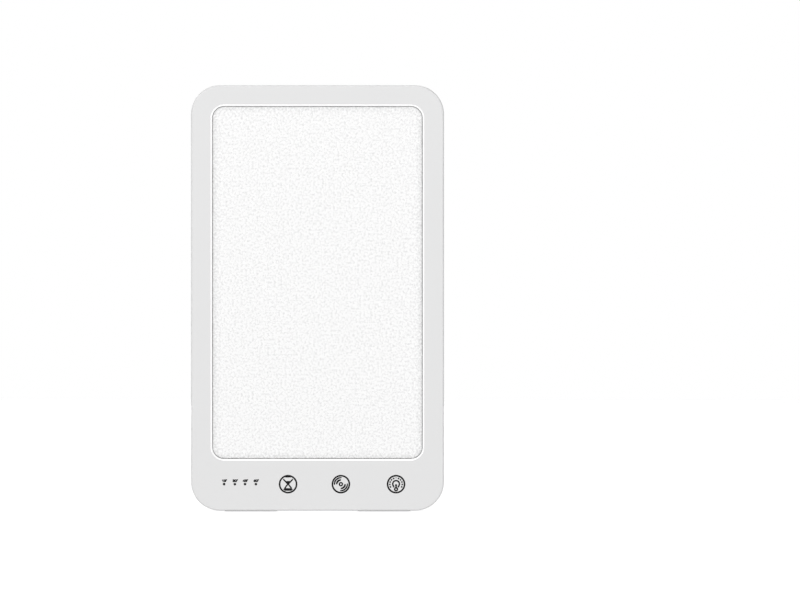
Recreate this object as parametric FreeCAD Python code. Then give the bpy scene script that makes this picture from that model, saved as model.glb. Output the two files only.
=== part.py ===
import FreeCAD, Part
import math
import os

# Tablet-shaped light therapy lamp with a fold-out leg.
# Millimetres. +X is right and -Y is towards the user when the lit face is looked at, +Z is up.
# The origin is under the middle of the whole object, on the surface that it stands on.
# A depth d is counted from the front face towards the back.

# ---------------------------------------------------------------- driving dimensions
WIDTH = 152.0            # overall width
HEIGHT = 256.0           # overall height, foot strips included
DEPTH = 23.0             # front face to the crest of the back ring
CORNER_R = 17.4          # outer corner radius
FOOT_RISE = 0.4          # how far the rubber strips stand below the housing
WALL = 2.0               # housing side wall
FACE = 1.6               # bezel face thickness
SPLIT = 7.0              # depth of the parting line
BACK = 18.0              # depth of the flat back rim and of the sunk field
FRONT_EDGE_R = 1.2       # rounding of the bezel's outer edge
BACK_EDGE_R = 2.0        # rounding of the cover's outer edge

WIN_HW = 63.15           # window half-width
WIN_Z0, WIN_Z1 = 31.6, 243.4
WIN_R = 7.2

CTRL_Z = 16.5            # height of the control row
TOUCH_X = (-17.6, 14.1, 47.2)
LAMP_X = (-56.0, -49.5, -43.4, -36.9)
PIP_R = 0.7              # radius of the small indicator windows

# raised ring on the back: insets from the outer edges (side, top, bottom)
RING_FOOT = (7.7, 9.7, 11.8)
RING_CREST_OUT = (18.0, 19.6, 24.4)
RING_CREST_IN = (19.0, 20.6, 25.6)
FIELD_HW, FIELD_Z0, FIELD_Z1, FIELD_R = 46.5, 32.8, 227.8, 1.5

HINGE_Z = 141.75         # hinge axis height
HINGE_D = 18.6           # hinge axis depth
BARREL_R = 4.4
SLEEVE_R = 4.05
AXLE_R = 2.0
BORE_R = 2.05
BARREL_END = 38.2        # tip of the domed end
KNUCKLE_IN = 22.95       # inner end of the leg's knuckle
DOME_X = BARREL_END - BARREL_R

D_HW = 21.15             # D-shaped opening half-width
D_TOP = 158.15
D_RC = 4.85
D_ZC = 134.2             # centre of its lower half-circle

LEG_IN, LEG_OUT = 18.4, 22.6      # depths of the leg's two faces
LEG_BOTTOM = 0.8
LEG_TOP = 136.8
LEG_OPEN_DEG = 45.0      # travel allowed by the stop lugs
LATCH_Z, LATCH_D = 23.3, 20.2     # pivot of the press tab
SLOT_TOP = 25.0

JACK_Z, JACK_D = 22.5, 11.0       # centre of the power inlet

V = FreeCAD.Vector
HW = WIDTH / 2.0


def leg_hw(z):
    # half-width of the tapered leg at a height
    return 17.0 + (32.8 - 17.0) * (z - 7.0) / (136.0 - 7.0)


# ---------------------------------------------------------------- helpers
def yd(d):
    return d - DEPTH / 2.0


def line(a, b):
    return Part.LineSegment(a, b).toShape()


def arc(a, m, b):
    return Part.Arc(a, m, b).toShape()


def rr_wire(hw, z0, z1, r, d, cx=0.0):
    # rounded rectangle in the plane at depth d
    y = yd(d)
    k = r * (1.0 - math.sqrt(0.5))
    xa, xb = cx - hw, cx + hw

    def p(x, z):
        return V(x, y, z)

    return Part.Wire([
        line(p(xa + r, z0), p(xb - r, z0)),
        arc(p(xb - r, z0), p(xb - k, z0 + k), p(xb, z0 + r)),
        line(p(xb, z0 + r), p(xb, z1 - r)),
        arc(p(xb, z1 - r), p(xb - k, z1 - k), p(xb - r, z1)),
        line(p(xb - r, z1), p(xa + r, z1)),
        arc(p(xa + r, z1), p(xa + k, z1 - k), p(xa, z1 - r)),
        line(p(xa, z1 - r), p(xa, z0 + r)),
        arc(p(xa, z0 + r), p(xa + k, z0 + k), p(xa + r, z0)),
    ])


def inset_wire(side, top, bottom, r, d):
    # rounded rectangle given by its distances from the outer edges
    return rr_wire(HW - side, bottom, HEIGHT - top, r, d)


def prism(wire, depth):
    return Part.Face(wire).extrude(V(0, depth, 0))


def rr_prism(hw, z0, z1, r, d0, d1, cx=0.0):
    return prism(rr_wire(hw, z0, z1, r, d0, cx), d1 - d0)


def loft(wires, ruled=True):
    return Part.makeLoft(wires, True, ruled)


def box(x0, x1, d0, d1, z0, z1):
    return Part.makeBox(x1 - x0, d1 - d0, z1 - z0, V(x0, yd(d0), z0))


def cyl_y(r, x, z, d0, d1):
    return Part.makeCylinder(r, d1 - d0, V(x, yd(d0), z), V(0, 1, 0))


def cyl_x(r, x0, x1, d, z):
    return Part.makeCylinder(r, x1 - x0, V(x0, yd(d), z), V(1, 0, 0))


def rounded_poly(points, radii, d):
    # closed outline of (x, z) points with a tangent arc of its own radius at each
    y = yd(d)
    n = len(points)
    ins, outs, mids = [], [], []
    for i in range(n):
        p = V(points[i][0], y, points[i][1])
        a = V(points[i - 1][0], y, points[i - 1][1])
        b = V(points[(i + 1) % n][0], y, points[(i + 1) % n][1])
        ua, ub = (a - p).normalize(), (b - p).normalize()
        r = radii[i]
        if r <= 0:
            ins.append(p)
            outs.append(p)
            mids.append(None)
            continue
        half = math.acos(max(-1.0, min(1.0, ua.dot(ub)))) / 2.0
        t = r / math.tan(half)
        c = p + (ua + ub).normalize() * (r / math.sin(half))
        ins.append(p + ua * t)
        outs.append(p + ub * t)
        mids.append(c + (p - c).normalize() * r)
    edges = []
    for i in range(n):
        if mids[i] is not None:
            edges.append(arc(ins[i], mids[i], outs[i]))
        nxt = ins[(i + 1) % n]
        if (nxt - outs[i]).Length > 1e-6:
            edges.append(line(outs[i], nxt))
    return Part.Wire(edges)


def d_wire(hw, top, rc, d):
    # the D-shaped outline: square shoulders above, half a circle below
    y = yd(d)
    k = rc * (1.0 - math.sqrt(0.5))

    def p(x, z):
        return V(x, y, z)

    return Part.Wire([
        line(p(hw, D_ZC), p(hw, top - rc)),
        arc(p(hw, top - rc), p(hw - k, top - k), p(hw - rc, top)),
        line(p(hw - rc, top), p(-hw + rc, top)),
        arc(p(-hw + rc, top), p(-hw + k, top - k), p(-hw, top - rc)),
        line(p(-hw, top - rc), p(-hw, D_ZC)),
        arc(p(-hw, D_ZC), p(0, D_ZC - hw), p(hw, D_ZC)),
    ])


def yz_prism(points, x0, x1):
    # polygon of (z, d) points, extruded along X
    vs = [V(x0, yd(d), z) for z, d in points]
    return Part.Face(Part.makePolygon(vs + [vs[0]])).extrude(V(x1 - x0, 0, 0))


def sector(r0, r1, a0, a1, x0, x1):
    # sector about the hinge axis. Angles in degrees from straight into the housing, positive upwards
    def p(r, a):
        t = math.radians(a)
        return V(x0, yd(HINGE_D - r * math.cos(t)), HINGE_Z + r * math.sin(t))

    am = (a0 + a1) / 2.0
    w = Part.Wire([
        arc(p(r1, a0), p(r1, am), p(r1, a1)),
        line(p(r1, a1), p(r0, a1)),
        arc(p(r0, a1), p(r0, am), p(r0, a0)),
        line(p(r0, a0), p(r1, a0)),
    ])
    return Part.Face(w).extrude(V(x1 - x0, 0, 0))


def mirror_x(shape):
    return shape.mirror(V(0, 0, 0), V(1, 0, 0))


def both(shape):
    return [shape, mirror_x(shape)]


def fuse(shapes):
    out = shapes[0]
    if len(shapes) > 1:
        out = out.fuse(shapes[1:])
    return out


def cut(shape, tools):
    return shape.cut(tools)


def edges_at_depth(shape, d, keep=lambda e: True):
    y = yd(d)
    return [
        e for e in shape.Edges
        if all(abs(v.Point.y - y) < 1e-6 for v in e.Vertexes)
        and abs(e.CenterOfMass.y - y) < 1e-6 and keep(e)
    ]


def tube(points, r, radii):
    # round lead along straight runs joined by tangent arcs
    pts = [V(x, yd(d), z) for x, d, z in points]
    edges, at = [], pts[0]
    for i in range(1, len(pts) - 1):
        p = pts[i]
        ua, ub = (pts[i - 1] - p).normalize(), (pts[i + 1] - p).normalize()
        half = math.acos(max(-1.0, min(1.0, ua.dot(ub)))) / 2.0
        rad = radii[i - 1]
        t = rad / math.tan(half)
        c = p + (ua + ub).normalize() * (rad / math.sin(half))
        a, b = p + ua * t, p + ub * t
        edges.append(line(at, a))
        edges.append(arc(a, c + (p - c).normalize() * rad, b))
        at = b
    edges.append(line(at, pts[-1]))
    path = Part.Wire(edges)
    section = Part.Wire([Part.makeCircle(r, pts[0], pts[1] - pts[0])])
    return path.makePipeShell([section], True, False)


parts = {}

# ---------------------------------------------------------------- front bezel
Z_BASE = FOOT_RISE
bezel = rr_prism(HW, Z_BASE, HEIGHT, CORNER_R, 0.0, SPLIT)
bezel = bezel.makeFillet(FRONT_EDGE_R, edges_at_depth(bezel, 0.0))
bezel = cut(bezel, [rr_prism(HW - WALL, Z_BASE + WALL, HEIGHT - WALL, CORNER_R - WALL, FACE, SPLIT + 1)])
# window with a small bevel all round
bezel = cut(bezel, [
    rr_prism(WIN_HW, WIN_Z0, WIN_Z1, WIN_R, -1.0, FACE + 1),
    loft([
        rr_wire(WIN_HW + 0.9, WIN_Z0 - 0.9, WIN_Z1 + 0.9, WIN_R + 0.9, -0.2),
        rr_wire(WIN_HW, WIN_Z0, WIN_Z1, WIN_R, 0.7),
    ]),
])
TRAY_SCREWS = [(sx * 69.5, z) for sx in (-1, 1) for z in (45.0, 230.0)]
BOARD_SCREWS = [(-59.5, 9.5), (-62.5, 21.0), (60.0, 9.5), (57.5, 21.0)]
bosses = [cyl_y(2.3, x, z, FACE - 0.2, 7.45) for x, z in TRAY_SCREWS]
bosses += [cyl_y(2.2, x, z, FACE - 0.2, 5.6) for x, z in BOARD_SCREWS]
bezel = fuse([bezel] + bosses)
bezel = cut(bezel, [cyl_y(0.8, x, z, 3.0, 8.0) for x, z in TRAY_SCREWS]
            + [cyl_y(0.8, x, z, 2.4, 8.0) for x, z in BOARD_SCREWS]
            + [cyl_y(PIP_R + 0.05, x, CTRL_Z, -1.0, FACE + 1) for x in LAMP_X])
# notches for the cover's snap beads
SNAP_SIDE_Z = (60.0, 130.0, 200.0)
SNAP_END_X = (-38.0, 38.0)
notches = []
for z in SNAP_SIDE_Z:
    notches += both(box(HW - WALL - 0.5, HW - 1.5, 5.7, 6.7, z - 5.5, z + 5.5))
for x in SNAP_END_X:
    notches.append(box(x - 5.5, x + 5.5, 5.7, 6.7, HEIGHT - WALL - 0.5, HEIGHT - 1.5))
bezel = cut(bezel, notches)
# recess for the foot strips
FOOT_X0, FOOT_X1, FOOT_D0, FOOT_D1 = 24.0, 56.0, 2.6, 15.6
foot_recess = both(box(FOOT_X0, FOOT_X1, FOOT_D0, FOOT_D1, -1.0, Z_BASE + 0.5))
bezel = cut(bezel, foot_recess)
parts["front_bezel"] = bezel

# ---------------------------------------------------------------- light engine
gasket = rr_prism(67.0, 28.6, 247.0, 6.0, 1.65, 2.0)
gasket = cut(gasket, [rr_prism(WIN_HW + 1.6, WIN_Z0 - 1.2, WIN_Z1 + 1.4, 5.0, 1.0, 3.0)])
parts["diffuser_gasket"] = gasket

diffuser = fuse([
    rr_prism(66.8, 29.6, 246.6, 6.0, 2.05, 3.95),
    rr_prism(WIN_HW - 0.35, WIN_Z0 + 0.35, WIN_Z1 - 0.35, WIN_R - 0.35, 0.9, 2.5),
])
parts["diffuser_panel"] = diffuser

parts["light_guide"] = box(-62.9, 62.9, 4.1, 7.1, 30.2, 245.6)
parts["reflector_sheet"] = box(-63.1, 63.1, 7.15, 7.4, 30.0, 245.8)

tray = fuse([box(-66.2, 66.2, 7.5, 8.5, 29.0, 246.6)]
            + both(box(65.2, 66.2, 4.05, 7.6, 34.0, 244.0))
            + [box(min(0, x), max(0, x), 7.5, 8.5, z - 2.6, z + 2.6) for x, z in TRAY_SCREWS]
            + [cyl_y(2.6, x, z, 7.5, 8.5) for x, z in TRAY_SCREWS])
tray = cut(tray, [cyl_y(1.1, x, z, 7.0, 9.0) for x, z in TRAY_SCREWS])
parts["backing_plate"] = tray.removeSplitter()


def pan_screw(x, z, d_head, shank, head_r=1.9, head_h=1.2, r=0.8):
    # small pan-head screw driven towards the front
    s = fuse([cyl_y(head_r, x, z, d_head, d_head + head_h), cyl_y(r, x, z, d_head - shank, d_head + 0.1)])
    return cut(s, [box(x - 1.1, x + 1.1, d_head + head_h - 0.5, d_head + head_h + 1, z - 0.22, z + 0.22),
                   box(x - 0.22, x + 0.22, d_head + head_h - 0.5, d_head + head_h + 1, z - 1.1, z + 1.1)])


parts["backing_screws"] = Part.makeCompound([pan_screw(x, z, 8.5, 5.2) for x, z in TRAY_SCREWS])

strip = box(64.2, 65.15, 4.1, 7.4, 34.0, 244.0)
parts["led_strip_right"], parts["led_strip_left"] = both(strip)
leds = []
for i in range(24):
    z = 40.0 + i * 8.6
    leds += both(box(63.2, 64.2, 5.0, 6.4, z - 1.75, z + 1.75))
parts["led_packages"] = Part.makeCompound(leds)

# ---------------------------------------------------------------- control board
BOARD_D0, BOARD_D1 = 5.6, 6.8
board = prism(rounded_poly([(-66.0, 5.0), (71.5, 5.0), (71.5, 24.5), (-66.0, 24.5)], [13.0, 13.0, 1.0, 1.0], BOARD_D0),
              BOARD_D1 - BOARD_D0)
board = cut(board, [cyl_y(1.1, x, z, 5.0, 8.0) for x, z in BOARD_SCREWS])
parts["control_board"] = board
parts["board_screws"] = Part.makeCompound([pan_screw(x, z, BOARD_D1, 4.0) for x, z in BOARD_SCREWS])

parts["touch_pads"] = Part.makeCompound([cyl_y(5.0, x, CTRL_Z, FACE, BOARD_D0) for x in TOUCH_X])
parts["indicator_leds"] = Part.makeCompound(
    [box(x - 0.8, x + 0.8, 4.95, BOARD_D0, CTRL_Z - 0.45, CTRL_Z + 0.45) for x in LAMP_X])
pipe = fuse([box(LAMP_X[0] - 1.6, LAMP_X[-1] + 1.6, FACE + 0.05, 3.0, CTRL_Z - 1.3, CTRL_Z + 1.3)]
            + [cyl_y(PIP_R, x, CTRL_Z, 0.02, 2.0) for x in LAMP_X]
            + [cyl_y(0.9, x, CTRL_Z, 2.5, 4.8) for x in LAMP_X])
parts["indicator_light_pipe"] = pipe

parts["control_chip"] = box(-21.0, -12.0, BOARD_D1, 8.2, 9.0, 18.0)
inductor = fuse([box(22.0, 30.0, BOARD_D1, 8.0, 8.0, 16.0), cyl_y(3.6, 26.0, 12.0, 7.9, 10.6)])
parts["driver_inductor"] = inductor
cap = cyl_y(3.15, 40.0, 11.0, BOARD_D1, 13.8)
cap = cap.makeFillet(0.4, edges_at_depth(cap, 13.8))
parts["bulk_capacitor"] = cap

CONN_X, CONN_TOP = 50.0, 21.0
conn = cut(box(CONN_X - 3.0, CONN_X + 3.0, BOARD_D1, 10.4, 16.0, CONN_TOP),
           [box(CONN_X - 2.2, CONN_X + 2.2, 7.6, 9.6, 18.5, CONN_TOP + 1)])
parts["led_connectors"] = Part.makeCompound(both(conn))
lead_route = [(64.3, 5.7, 33.95), (64.3, 5.7, 28.4), (59.4, 5.7, 27.4), (54.6, 8.6, 26.9),
              (CONN_X, 8.6, 26.4), (CONN_X, 8.6, 18.5)]
lead = tube(lead_route, 0.6, [2.6, 3.0, 3.0, 2.2])
parts["led_lead_right"], parts["led_lead_left"] = both(lead)

# ---------------------------------------------------------------- power inlet in the right side wall
jack = fuse([box(61.5, 73.85, BOARD_D1 + 0.05, 15.2, JACK_Z - 4.5, JACK_Z + 4.5),
             cyl_x(3.55, 73.0, 75.5, JACK_D, JACK_Z)])
jack = cut(jack, [cyl_x(2.95, 64.0, 76.5, JACK_D, JACK_Z),
                  cyl_x(0.8, 60.0, 66.0, JACK_D, JACK_Z),
                  box(62.4, 73.0, JACK_D + 2.0, 14.6, JACK_Z - 1.0, JACK_Z + 1.0)])
parts["dc_jack_body"] = jack
jack_pin = fuse([cyl_x(0.8, 62.0, 65.0, JACK_D, JACK_Z), cyl_x(1.05, 64.5, 73.6, JACK_D, JACK_Z)])
jack_pin = jack_pin.makeFillet(0.5, [e for e in jack_pin.Edges if e.CenterOfMass.x > 73.5 and e.Length < 7.0])
parts["dc_jack_pin"] = jack_pin
parts["dc_jack_contact"] = box(62.6, 72.6, 14.05, 14.45, JACK_Z - 0.8, JACK_Z + 0.8)

# ---------------------------------------------------------------- rear cover
COVER_D0 = SPLIT + 0.1
cover = rr_prism(HW, Z_BASE, HEIGHT, CORNER_R, COVER_D0, BACK)
cover = cover.makeFillet(BACK_EDGE_R, edges_at_depth(cover, BACK))


def lerp(a, b, t):
    return tuple(p + (q - p) * t for p, q in zip(a, b))


# ring: a sweep that starts flat at the rim and steepens up to the crest
levels = []
for s in (0.0, 0.25, 0.45, 0.63, 0.78, 0.9, 1.0):
    side, top, bottom = lerp(RING_FOOT, RING_CREST_OUT, s)
    h = 4.75 * s ** 1.6
    levels.append(inset_wire(side, top, bottom, 9.7 - 0.9 * s, BACK + h))
ring_base = inset_wire(*RING_FOOT, 9.7, BACK - 0.5)
side, top, bottom = lerp(RING_CREST_OUT, RING_CREST_IN, 0.5)
levels.append(inset_wire(side - 0.15, top - 0.15, bottom - 0.15, 8.7, DEPTH))
ring = loft([ring_base] + levels)
cover = fuse([cover, ring])
crest_in = inset_wire(*RING_CREST_IN, 8.4, DEPTH - 0.25)
above = inset_wire(RING_CREST_IN[0] - 0.35, RING_CREST_IN[1] - 0.35, RING_CREST_IN[2] - 0.35, 8.6, DEPTH)
above2 = inset_wire(RING_CREST_IN[0] - 0.35, RING_CREST_IN[1] - 0.35, RING_CREST_IN[2] - 0.35, 8.6, DEPTH + 1)
field = loft([rr_wire(FIELD_HW, FIELD_Z0, FIELD_Z1, FIELD_R, BACK), crest_in, above, above2])
cover = cut(cover, [field])

# inside of the cover, with the ring hollow too
cavity = rr_prism(HW - WALL, Z_BASE + WALL, HEIGHT - WALL, CORNER_R - WALL, COVER_D0 - 1, BACK - WALL)
ring_room = loft([inset_wire(14.7, 16.4, 20.3, 9.0, BACK - WALL - 0.3), inset_wire(17.9, 19.6, 24.6, 8.0, BACK + 2.5)])
ring_core = loft([rr_wire(47.3, 32.0, 228.6, 2.2, BACK - WALL - 0.6), inset_wire(19.9, 21.4, 26.3, 7.0, BACK + 2.7)])
ring_room = cut(ring_room, [ring_core, box(-23.5, 23.5, 10.0, 30.0, 0.0, 36.0)])
cover = cut(cover, [cavity, ring_room])

# channel that lets the leg lie across the lower part of the ring
channel = prism(rounded_poly([(-leg_hw(0.0) - 0.4, -1.0), (leg_hw(0.0) + 0.4, -1.0),
                              (leg_hw(40.0) + 0.4, 40.0), (-leg_hw(40.0) - 0.4, 40.0)], [0, 0, 0, 0], BACK), 8.0)
cover = cut(cover, [channel])

# lip that nests inside the bezel's wall, with snap beads
lip = cut(rr_prism(HW - 1.9, Z_BASE + 1.9, HEIGHT - 1.9, CORNER_R - 1.9, COVER_D0, 9.0),
          [rr_prism(HW - 3.05, Z_BASE + 3.05, HEIGHT - 3.05, CORNER_R - 3.05, 5.0, 10.0)])
lip2 = cut(rr_prism(HW - 2.1, Z_BASE + 2.1, HEIGHT - 2.1, CORNER_R - 2.1, 5.3, COVER_D0 + 0.2),
           [rr_prism(HW - 3.05, Z_BASE + 3.05, HEIGHT - 3.05, CORNER_R - 3.05, 5.0, 10.0)])
beads = []
for z in SNAP_SIDE_Z:
    beads += both(box(HW - 2.3, HW - 1.65, 5.9, 6.5, z - 5.0, z + 5.0))
for x in SNAP_END_X:
    beads.append(box(x - 5.0, x + 5.0, 5.9, 6.5, HEIGHT - 2.3, HEIGHT - 1.65))
# posts that press on the backing plate
posts = [cyl_y(2.5, x, z, 8.55, BACK - 1.0) for x in (-40.0, 40.0) for z in (62.0, 112.0, 214.0)]

# cradle for the barrel, half sunk in the field
cradle = []
for x0, x1 in ((D_HW, 40.7), (-40.7, -D_HW)):
    cradle.append(cyl_x(6.65, x0, x1, HINGE_D, HINGE_Z))
cradle_body = [c.common(box(-50, 50, 5.0, BACK, HINGE_Z - 10, HINGE_Z + 10)) for c in cradle]
LUG_X0, LUG_X1 = 26.8, 30.0
LUG_A0, LUG_A1 = 23.0, 47.0
stop_walls = both(sector(3.0, 8.2, LUG_A0 - LEG_OPEN_DEG - 14.0, LUG_A1 + 15.0, LUG_X0 - 1.8, LUG_X1 + 1.8))
cover = fuse([cover, lip, lip2] + beads + posts + cradle_body + stop_walls)

# D-shaped opening with a bevelled edge
cover = cut(cover, [
    prism(d_wire(D_HW, D_TOP, D_RC, BACK - 8.0), 9.0),
    loft([d_wire(D_HW, D_TOP, D_RC, BACK - 0.95), d_wire(D_HW + 1.3, D_TOP + 1.3, D_RC + 1.3, BACK + 0.05)]),
])
# ears that carry the axle beside the opening
EAR_OUT = 22.5
ears = both(cyl_x(4.3, D_HW, EAR_OUT, HINGE_D, HINGE_Z))
ears += both(box(D_HW, EAR_OUT, 14.0, BACK - 0.1, HINGE_Z - 4.8, HINGE_Z + 4.8))
cover = fuse([cover] + ears)
room = []
for s in (1, -1):
    a = cyl_x(4.65, EAR_OUT, DOME_X + 0.05, HINGE_D, HINGE_Z)
    b = Part.makeSphere(4.65, V(DOME_X + 0.05, yd(HINGE_D), HINGE_Z))
    r = fuse([a, b])
    room.append(r if s > 0 else mirror_x(r))
room += both(sector(3.0, 6.7, LUG_A0 - LEG_OPEN_DEG - 2.6, LUG_A1 + 5.0, LUG_X0 - 0.4, LUG_X1 + 0.4))
cover = cut(cover, room)
cover = cut(cover, [cyl_x(BORE_R, -24.0, 24.0, HINGE_D, HINGE_Z)])
# slot for the latch hook, hole for the power inlet, recess for the foot strips
cover = cut(cover, [
    box(-3.6, 3.6, BACK - WALL - 1.0, BACK + 1.0, 14.15, 17.6),
    cyl_x(3.75, 70.0, 78.0, JACK_D, JACK_Z),
    box(60.0, 73.95, 4.0, 16.0, JACK_Z - 5.0, JACK_Z + 5.0),
] + foot_recess)
parts["rear_cover"] = cover

# ---------------------------------------------------------------- hinge pieces fixed to the housing
well = prism(d_wire(D_HW - 0.05, D_TOP - 0.05, D_RC - 0.05, 9.4), 17.5 - 9.4)
well = fuse([well] + both(cyl_x(4.3, 20.6, D_HW - 0.05, HINGE_D, HINGE_Z)))
well = cut(well, [loft([d_wire(20.2, D_TOP - 2.3, D_RC - 1.35, 11.0), d_wire(20.98, D_TOP - 0.6, D_RC - 0.5, 17.6)]).cut(
    fuse(both(cyl_x(4.3, 20.6, D_HW, HINGE_D, HINGE_Z))))])
well = cut(well, [cyl_x(BORE_R, -24.0, 24.0, HINGE_D, HINGE_Z)])
parts["hinge_well"] = well
# the sleeve is round with a flat along its lower outer side
flat = yz_prism([(HINGE_Z - 1.75, HINGE_D + 3.65), (HINGE_Z - 9.0, HINGE_D - 4.95), (HINGE_Z - 9.0, HINGE_D + 9.0),
                 (HINGE_Z - 1.75, HINGE_D + 9.0)], -21.0, 21.0)
sleeve = cut(cyl_x(SLEEVE_R, -20.5, 20.5, HINGE_D, HINGE_Z), [flat, cyl_x(BORE_R, -24.0, 24.0, HINGE_D, HINGE_Z)])
parts["hinge_sleeve"] = sleeve
axle = cyl_x(AXLE_R, -30.6, 30.6, HINGE_D, HINGE_Z)
axle = axle.makeChamfer(0.3, [e for e in axle.Edges if abs(abs(e.CenterOfMass.x) - 30.6) < 1e-6])
parts["hinge_axle"] = axle
washer = cut(cyl_x(4.32, EAR_OUT + 0.05, KNUCKLE_IN - 0.1, HINGE_D, HINGE_Z),
             [cyl_x(BORE_R + 0.05, 20.0, 24.0, HINGE_D, HINGE_Z)])
parts["friction_washers"] = Part.makeCompound(both(washer))

strip = rr_prism(1.0, 0.0, 1.0, 0.2, 0.0, 1.0)
feet = []
for s in both(box(FOOT_X0 + 0.2, FOOT_X1 - 0.2, FOOT_D0 + 0.2, FOOT_D1 - 0.2, 0.0, Z_BASE + 0.45)):
    s = s.makeFillet(2.0, [e for e in s.Edges if abs(e.BoundBox.ZLength - (Z_BASE + 0.45)) < 1e-6])
    feet.append(s)
parts["foot_strips"] = Part.makeCompound(feet)

# ---------------------------------------------------------------- leg
NOTCH_R = 21.3
CORNER_ARC = 8.0         # radius of the leg's lower corners, cut off by its bottom edge
CORNER_TOP = 5.5         # height where each corner arc meets the straight side


def leg_outline(d):
    # tapered outline whose wide lower corner arcs are cut off by the bottom edge
    y = yd(d)
    slope = (leg_hw(100.0) - leg_hw(0.0)) / 100.0
    norm = math.hypot(1.0, slope)
    cx, cz = leg_hw(CORNER_TOP) - CORNER_ARC / norm, CORNER_TOP + CORNER_ARC * slope / norm
    a0, a2 = -math.asin((cz - LEG_BOTTOM) / CORNER_ARC), -math.atan(slope)
    a1 = (a0 + a2) / 2.0
    p = [(cx + CORNER_ARC * math.cos(a), cz + CORNER_ARC * math.sin(a)) for a in (a0, a1, a2)]
    ht = leg_hw(LEG_TOP)
    right = [V(x, y, z) for x, z in p]
    left = [V(-x, y, z) for x, z in p]
    top_r, top_l = V(ht, y, LEG_TOP), V(-ht, y, LEG_TOP)
    return Part.Wire([line(left[0], right[0]), arc(right[0], right[1], right[2]), line(right[2], top_r), line(top_r, top_l),
                      line(top_l, left[2]), arc(left[2], left[1], left[0])])


plate = prism(leg_outline(LEG_IN), LEG_OUT - LEG_IN)
notch = fuse([cyl_y(NOTCH_R, 0.0, D_ZC, 10.0, 30.0), box(-NOTCH_R, NOTCH_R, 10.0, 30.0, D_ZC, LEG_TOP + 5)])
plate = cut(plate, [notch])
plate = plate.makeChamfer(0.8, edges_at_depth(plate, LEG_OUT))
# room for the ears and washers beside the opening
plate = cut(plate, [cyl_x(4.75, -KNUCKLE_IN, KNUCKLE_IN, HINGE_D, HINGE_Z)])
# hollow underside with stiffening ribs
pockets = []
for z0, z1 in ((40.0, 60.0), (61.6, 82.0), (83.6, 106.0)):
    w0, w1 = leg_hw(z0) - 3.0, leg_hw(z1) - 3.0
    for s in (1, -1):
        pts = [(0.8 * s, z0), (w0 * s, z0), (w1 * s, z1), (0.8 * s, z1)]
        pockets.append(prism(rounded_poly(pts, [1.0] * 4, LEG_IN - 1.0), 1.0 + 2.2))
plate = cut(plate, pockets)
knuckles = both(cyl_x(BARREL_R, KNUCKLE_IN, DOME_X, HINGE_D, HINGE_Z))
webs = both(box(KNUCKLE_IN, 32.6, LEG_IN, 20.0, 135.5, 140.5))
lugs = both(sector(3.0, 6.2, LUG_A0, LUG_A1, LUG_X0, LUG_X1))
leg = fuse([plate] + knuckles + webs + lugs)
leg = cut(leg, [cyl_x(BORE_R, -DOME_X - 1, DOME_X + 1, HINGE_D, HINGE_Z)])

# tapered window: plain recess above, through slot for the press tab below
WINDOW = [(-6.35, 11.9), (6.35, 11.9), (6.4, 22.6), (5.95, 24.6), (7.35, 34.6), (-7.35, 34.6), (-5.95, 24.6), (-6.4, 22.6)]
RADII = [2.9, 2.9, 0.6, 0.6, 2.8, 2.8, 0.6, 0.6]
RIM = [(-6.9, 11.1), (6.9, 11.1), (7.25, 22.6), (7.3, 24.6), (8.7, 36.1), (-8.7, 36.1), (-7.3, 24.6), (-7.25, 22.6)]
RIM_RADII = [3.4, 3.4, 0.3, 0.3, 4.0, 4.0, 0.3, 0.3]
window = prism(rounded_poly(WINDOW, RADII, LEG_OUT - 1.4), 4.0)
through = prism(rounded_poly(WINDOW, RADII, LEG_IN - 2.0), 8.0).common(box(-10, 10, 0, 40, 5.0, SLOT_TOP))
bevel = loft([rounded_poly(WINDOW, RADII, LEG_OUT - 0.45), rounded_poly(RIM, RIM_RADII, LEG_OUT + 0.03)])
leg = cut(leg, [window, through, bevel,
                cyl_x(0.6, -8.5, 8.5, LATCH_D, LATCH_Z),
                box(-1.5, -0.5, LEG_IN - 1.0, 19.5, SLOT_TOP - 1.0, 27.2),
                box(-12.2, 12.2, 18.9, 22.1, 0.0, 3.1)])
parts["leg_plate"] = leg

caps = []
for s in (1, -1):
    dome = Part.makeSphere(BARREL_R, V(DOME_X, yd(HINGE_D), HINGE_Z)).common(
        box(DOME_X + 0.05, BARREL_END + 1, 5.0, 30.0, HINGE_Z - 6, HINGE_Z + 6))
    c = fuse([dome, cyl_x(BORE_R - 0.05, 31.0, DOME_X + 1.0, HINGE_D, HINGE_Z)])
    caps.append(c if s > 0 else mirror_x(c))
parts["leg_end_caps"] = Part.makeCompound(caps)

pad = box(-12.0, 12.0, 19.1, 21.9, 0.4, 3.0)
parts["leg_foot_pad"] = pad

parts["latch_pin"] = cyl_x(0.6, -8.4, 8.4, LATCH_D, LATCH_Z)
coil = cut(cyl_x(1.2, -1.3, 1.3, LATCH_D, LATCH_Z), [cyl_x(0.72, -2.0, 2.0, LATCH_D, LATCH_Z)])
arm_up = Part.makeCylinder(0.22, 3.4, V(-1.0, yd(19.25), LATCH_Z), V(0, 0, 1))
arm_down = Part.makeCylinder(0.22, 3.8, V(1.0, yd(19.25), LATCH_Z - 3.8), V(0, 0, 1))
parts["latch_spring"] = cut(fuse([coil, arm_up, arm_down]), [cyl_x(0.72, -2.0, 2.0, LATCH_D, LATCH_Z)])

# ---------------------------------------------------------------- press tab with its snap hook
tab = prism(rounded_poly([(-4.45, 13.3), (4.45, 13.3), (5.72, 24.75), (-5.72, 24.75)], [2.0, 2.0, 0.6, 0.6], 19.6), 3.0)
tab = tab.makeChamfer(0.5, edges_at_depth(tab, LEG_OUT))
hook = yz_prism([(16.2, 20.0), (14.6, 20.0), (14.6, 16.0), (13.75, 15.35), (13.75, 15.1), (14.6, 14.4), (16.2, 14.4)],
                -3.0, 3.0)
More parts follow.
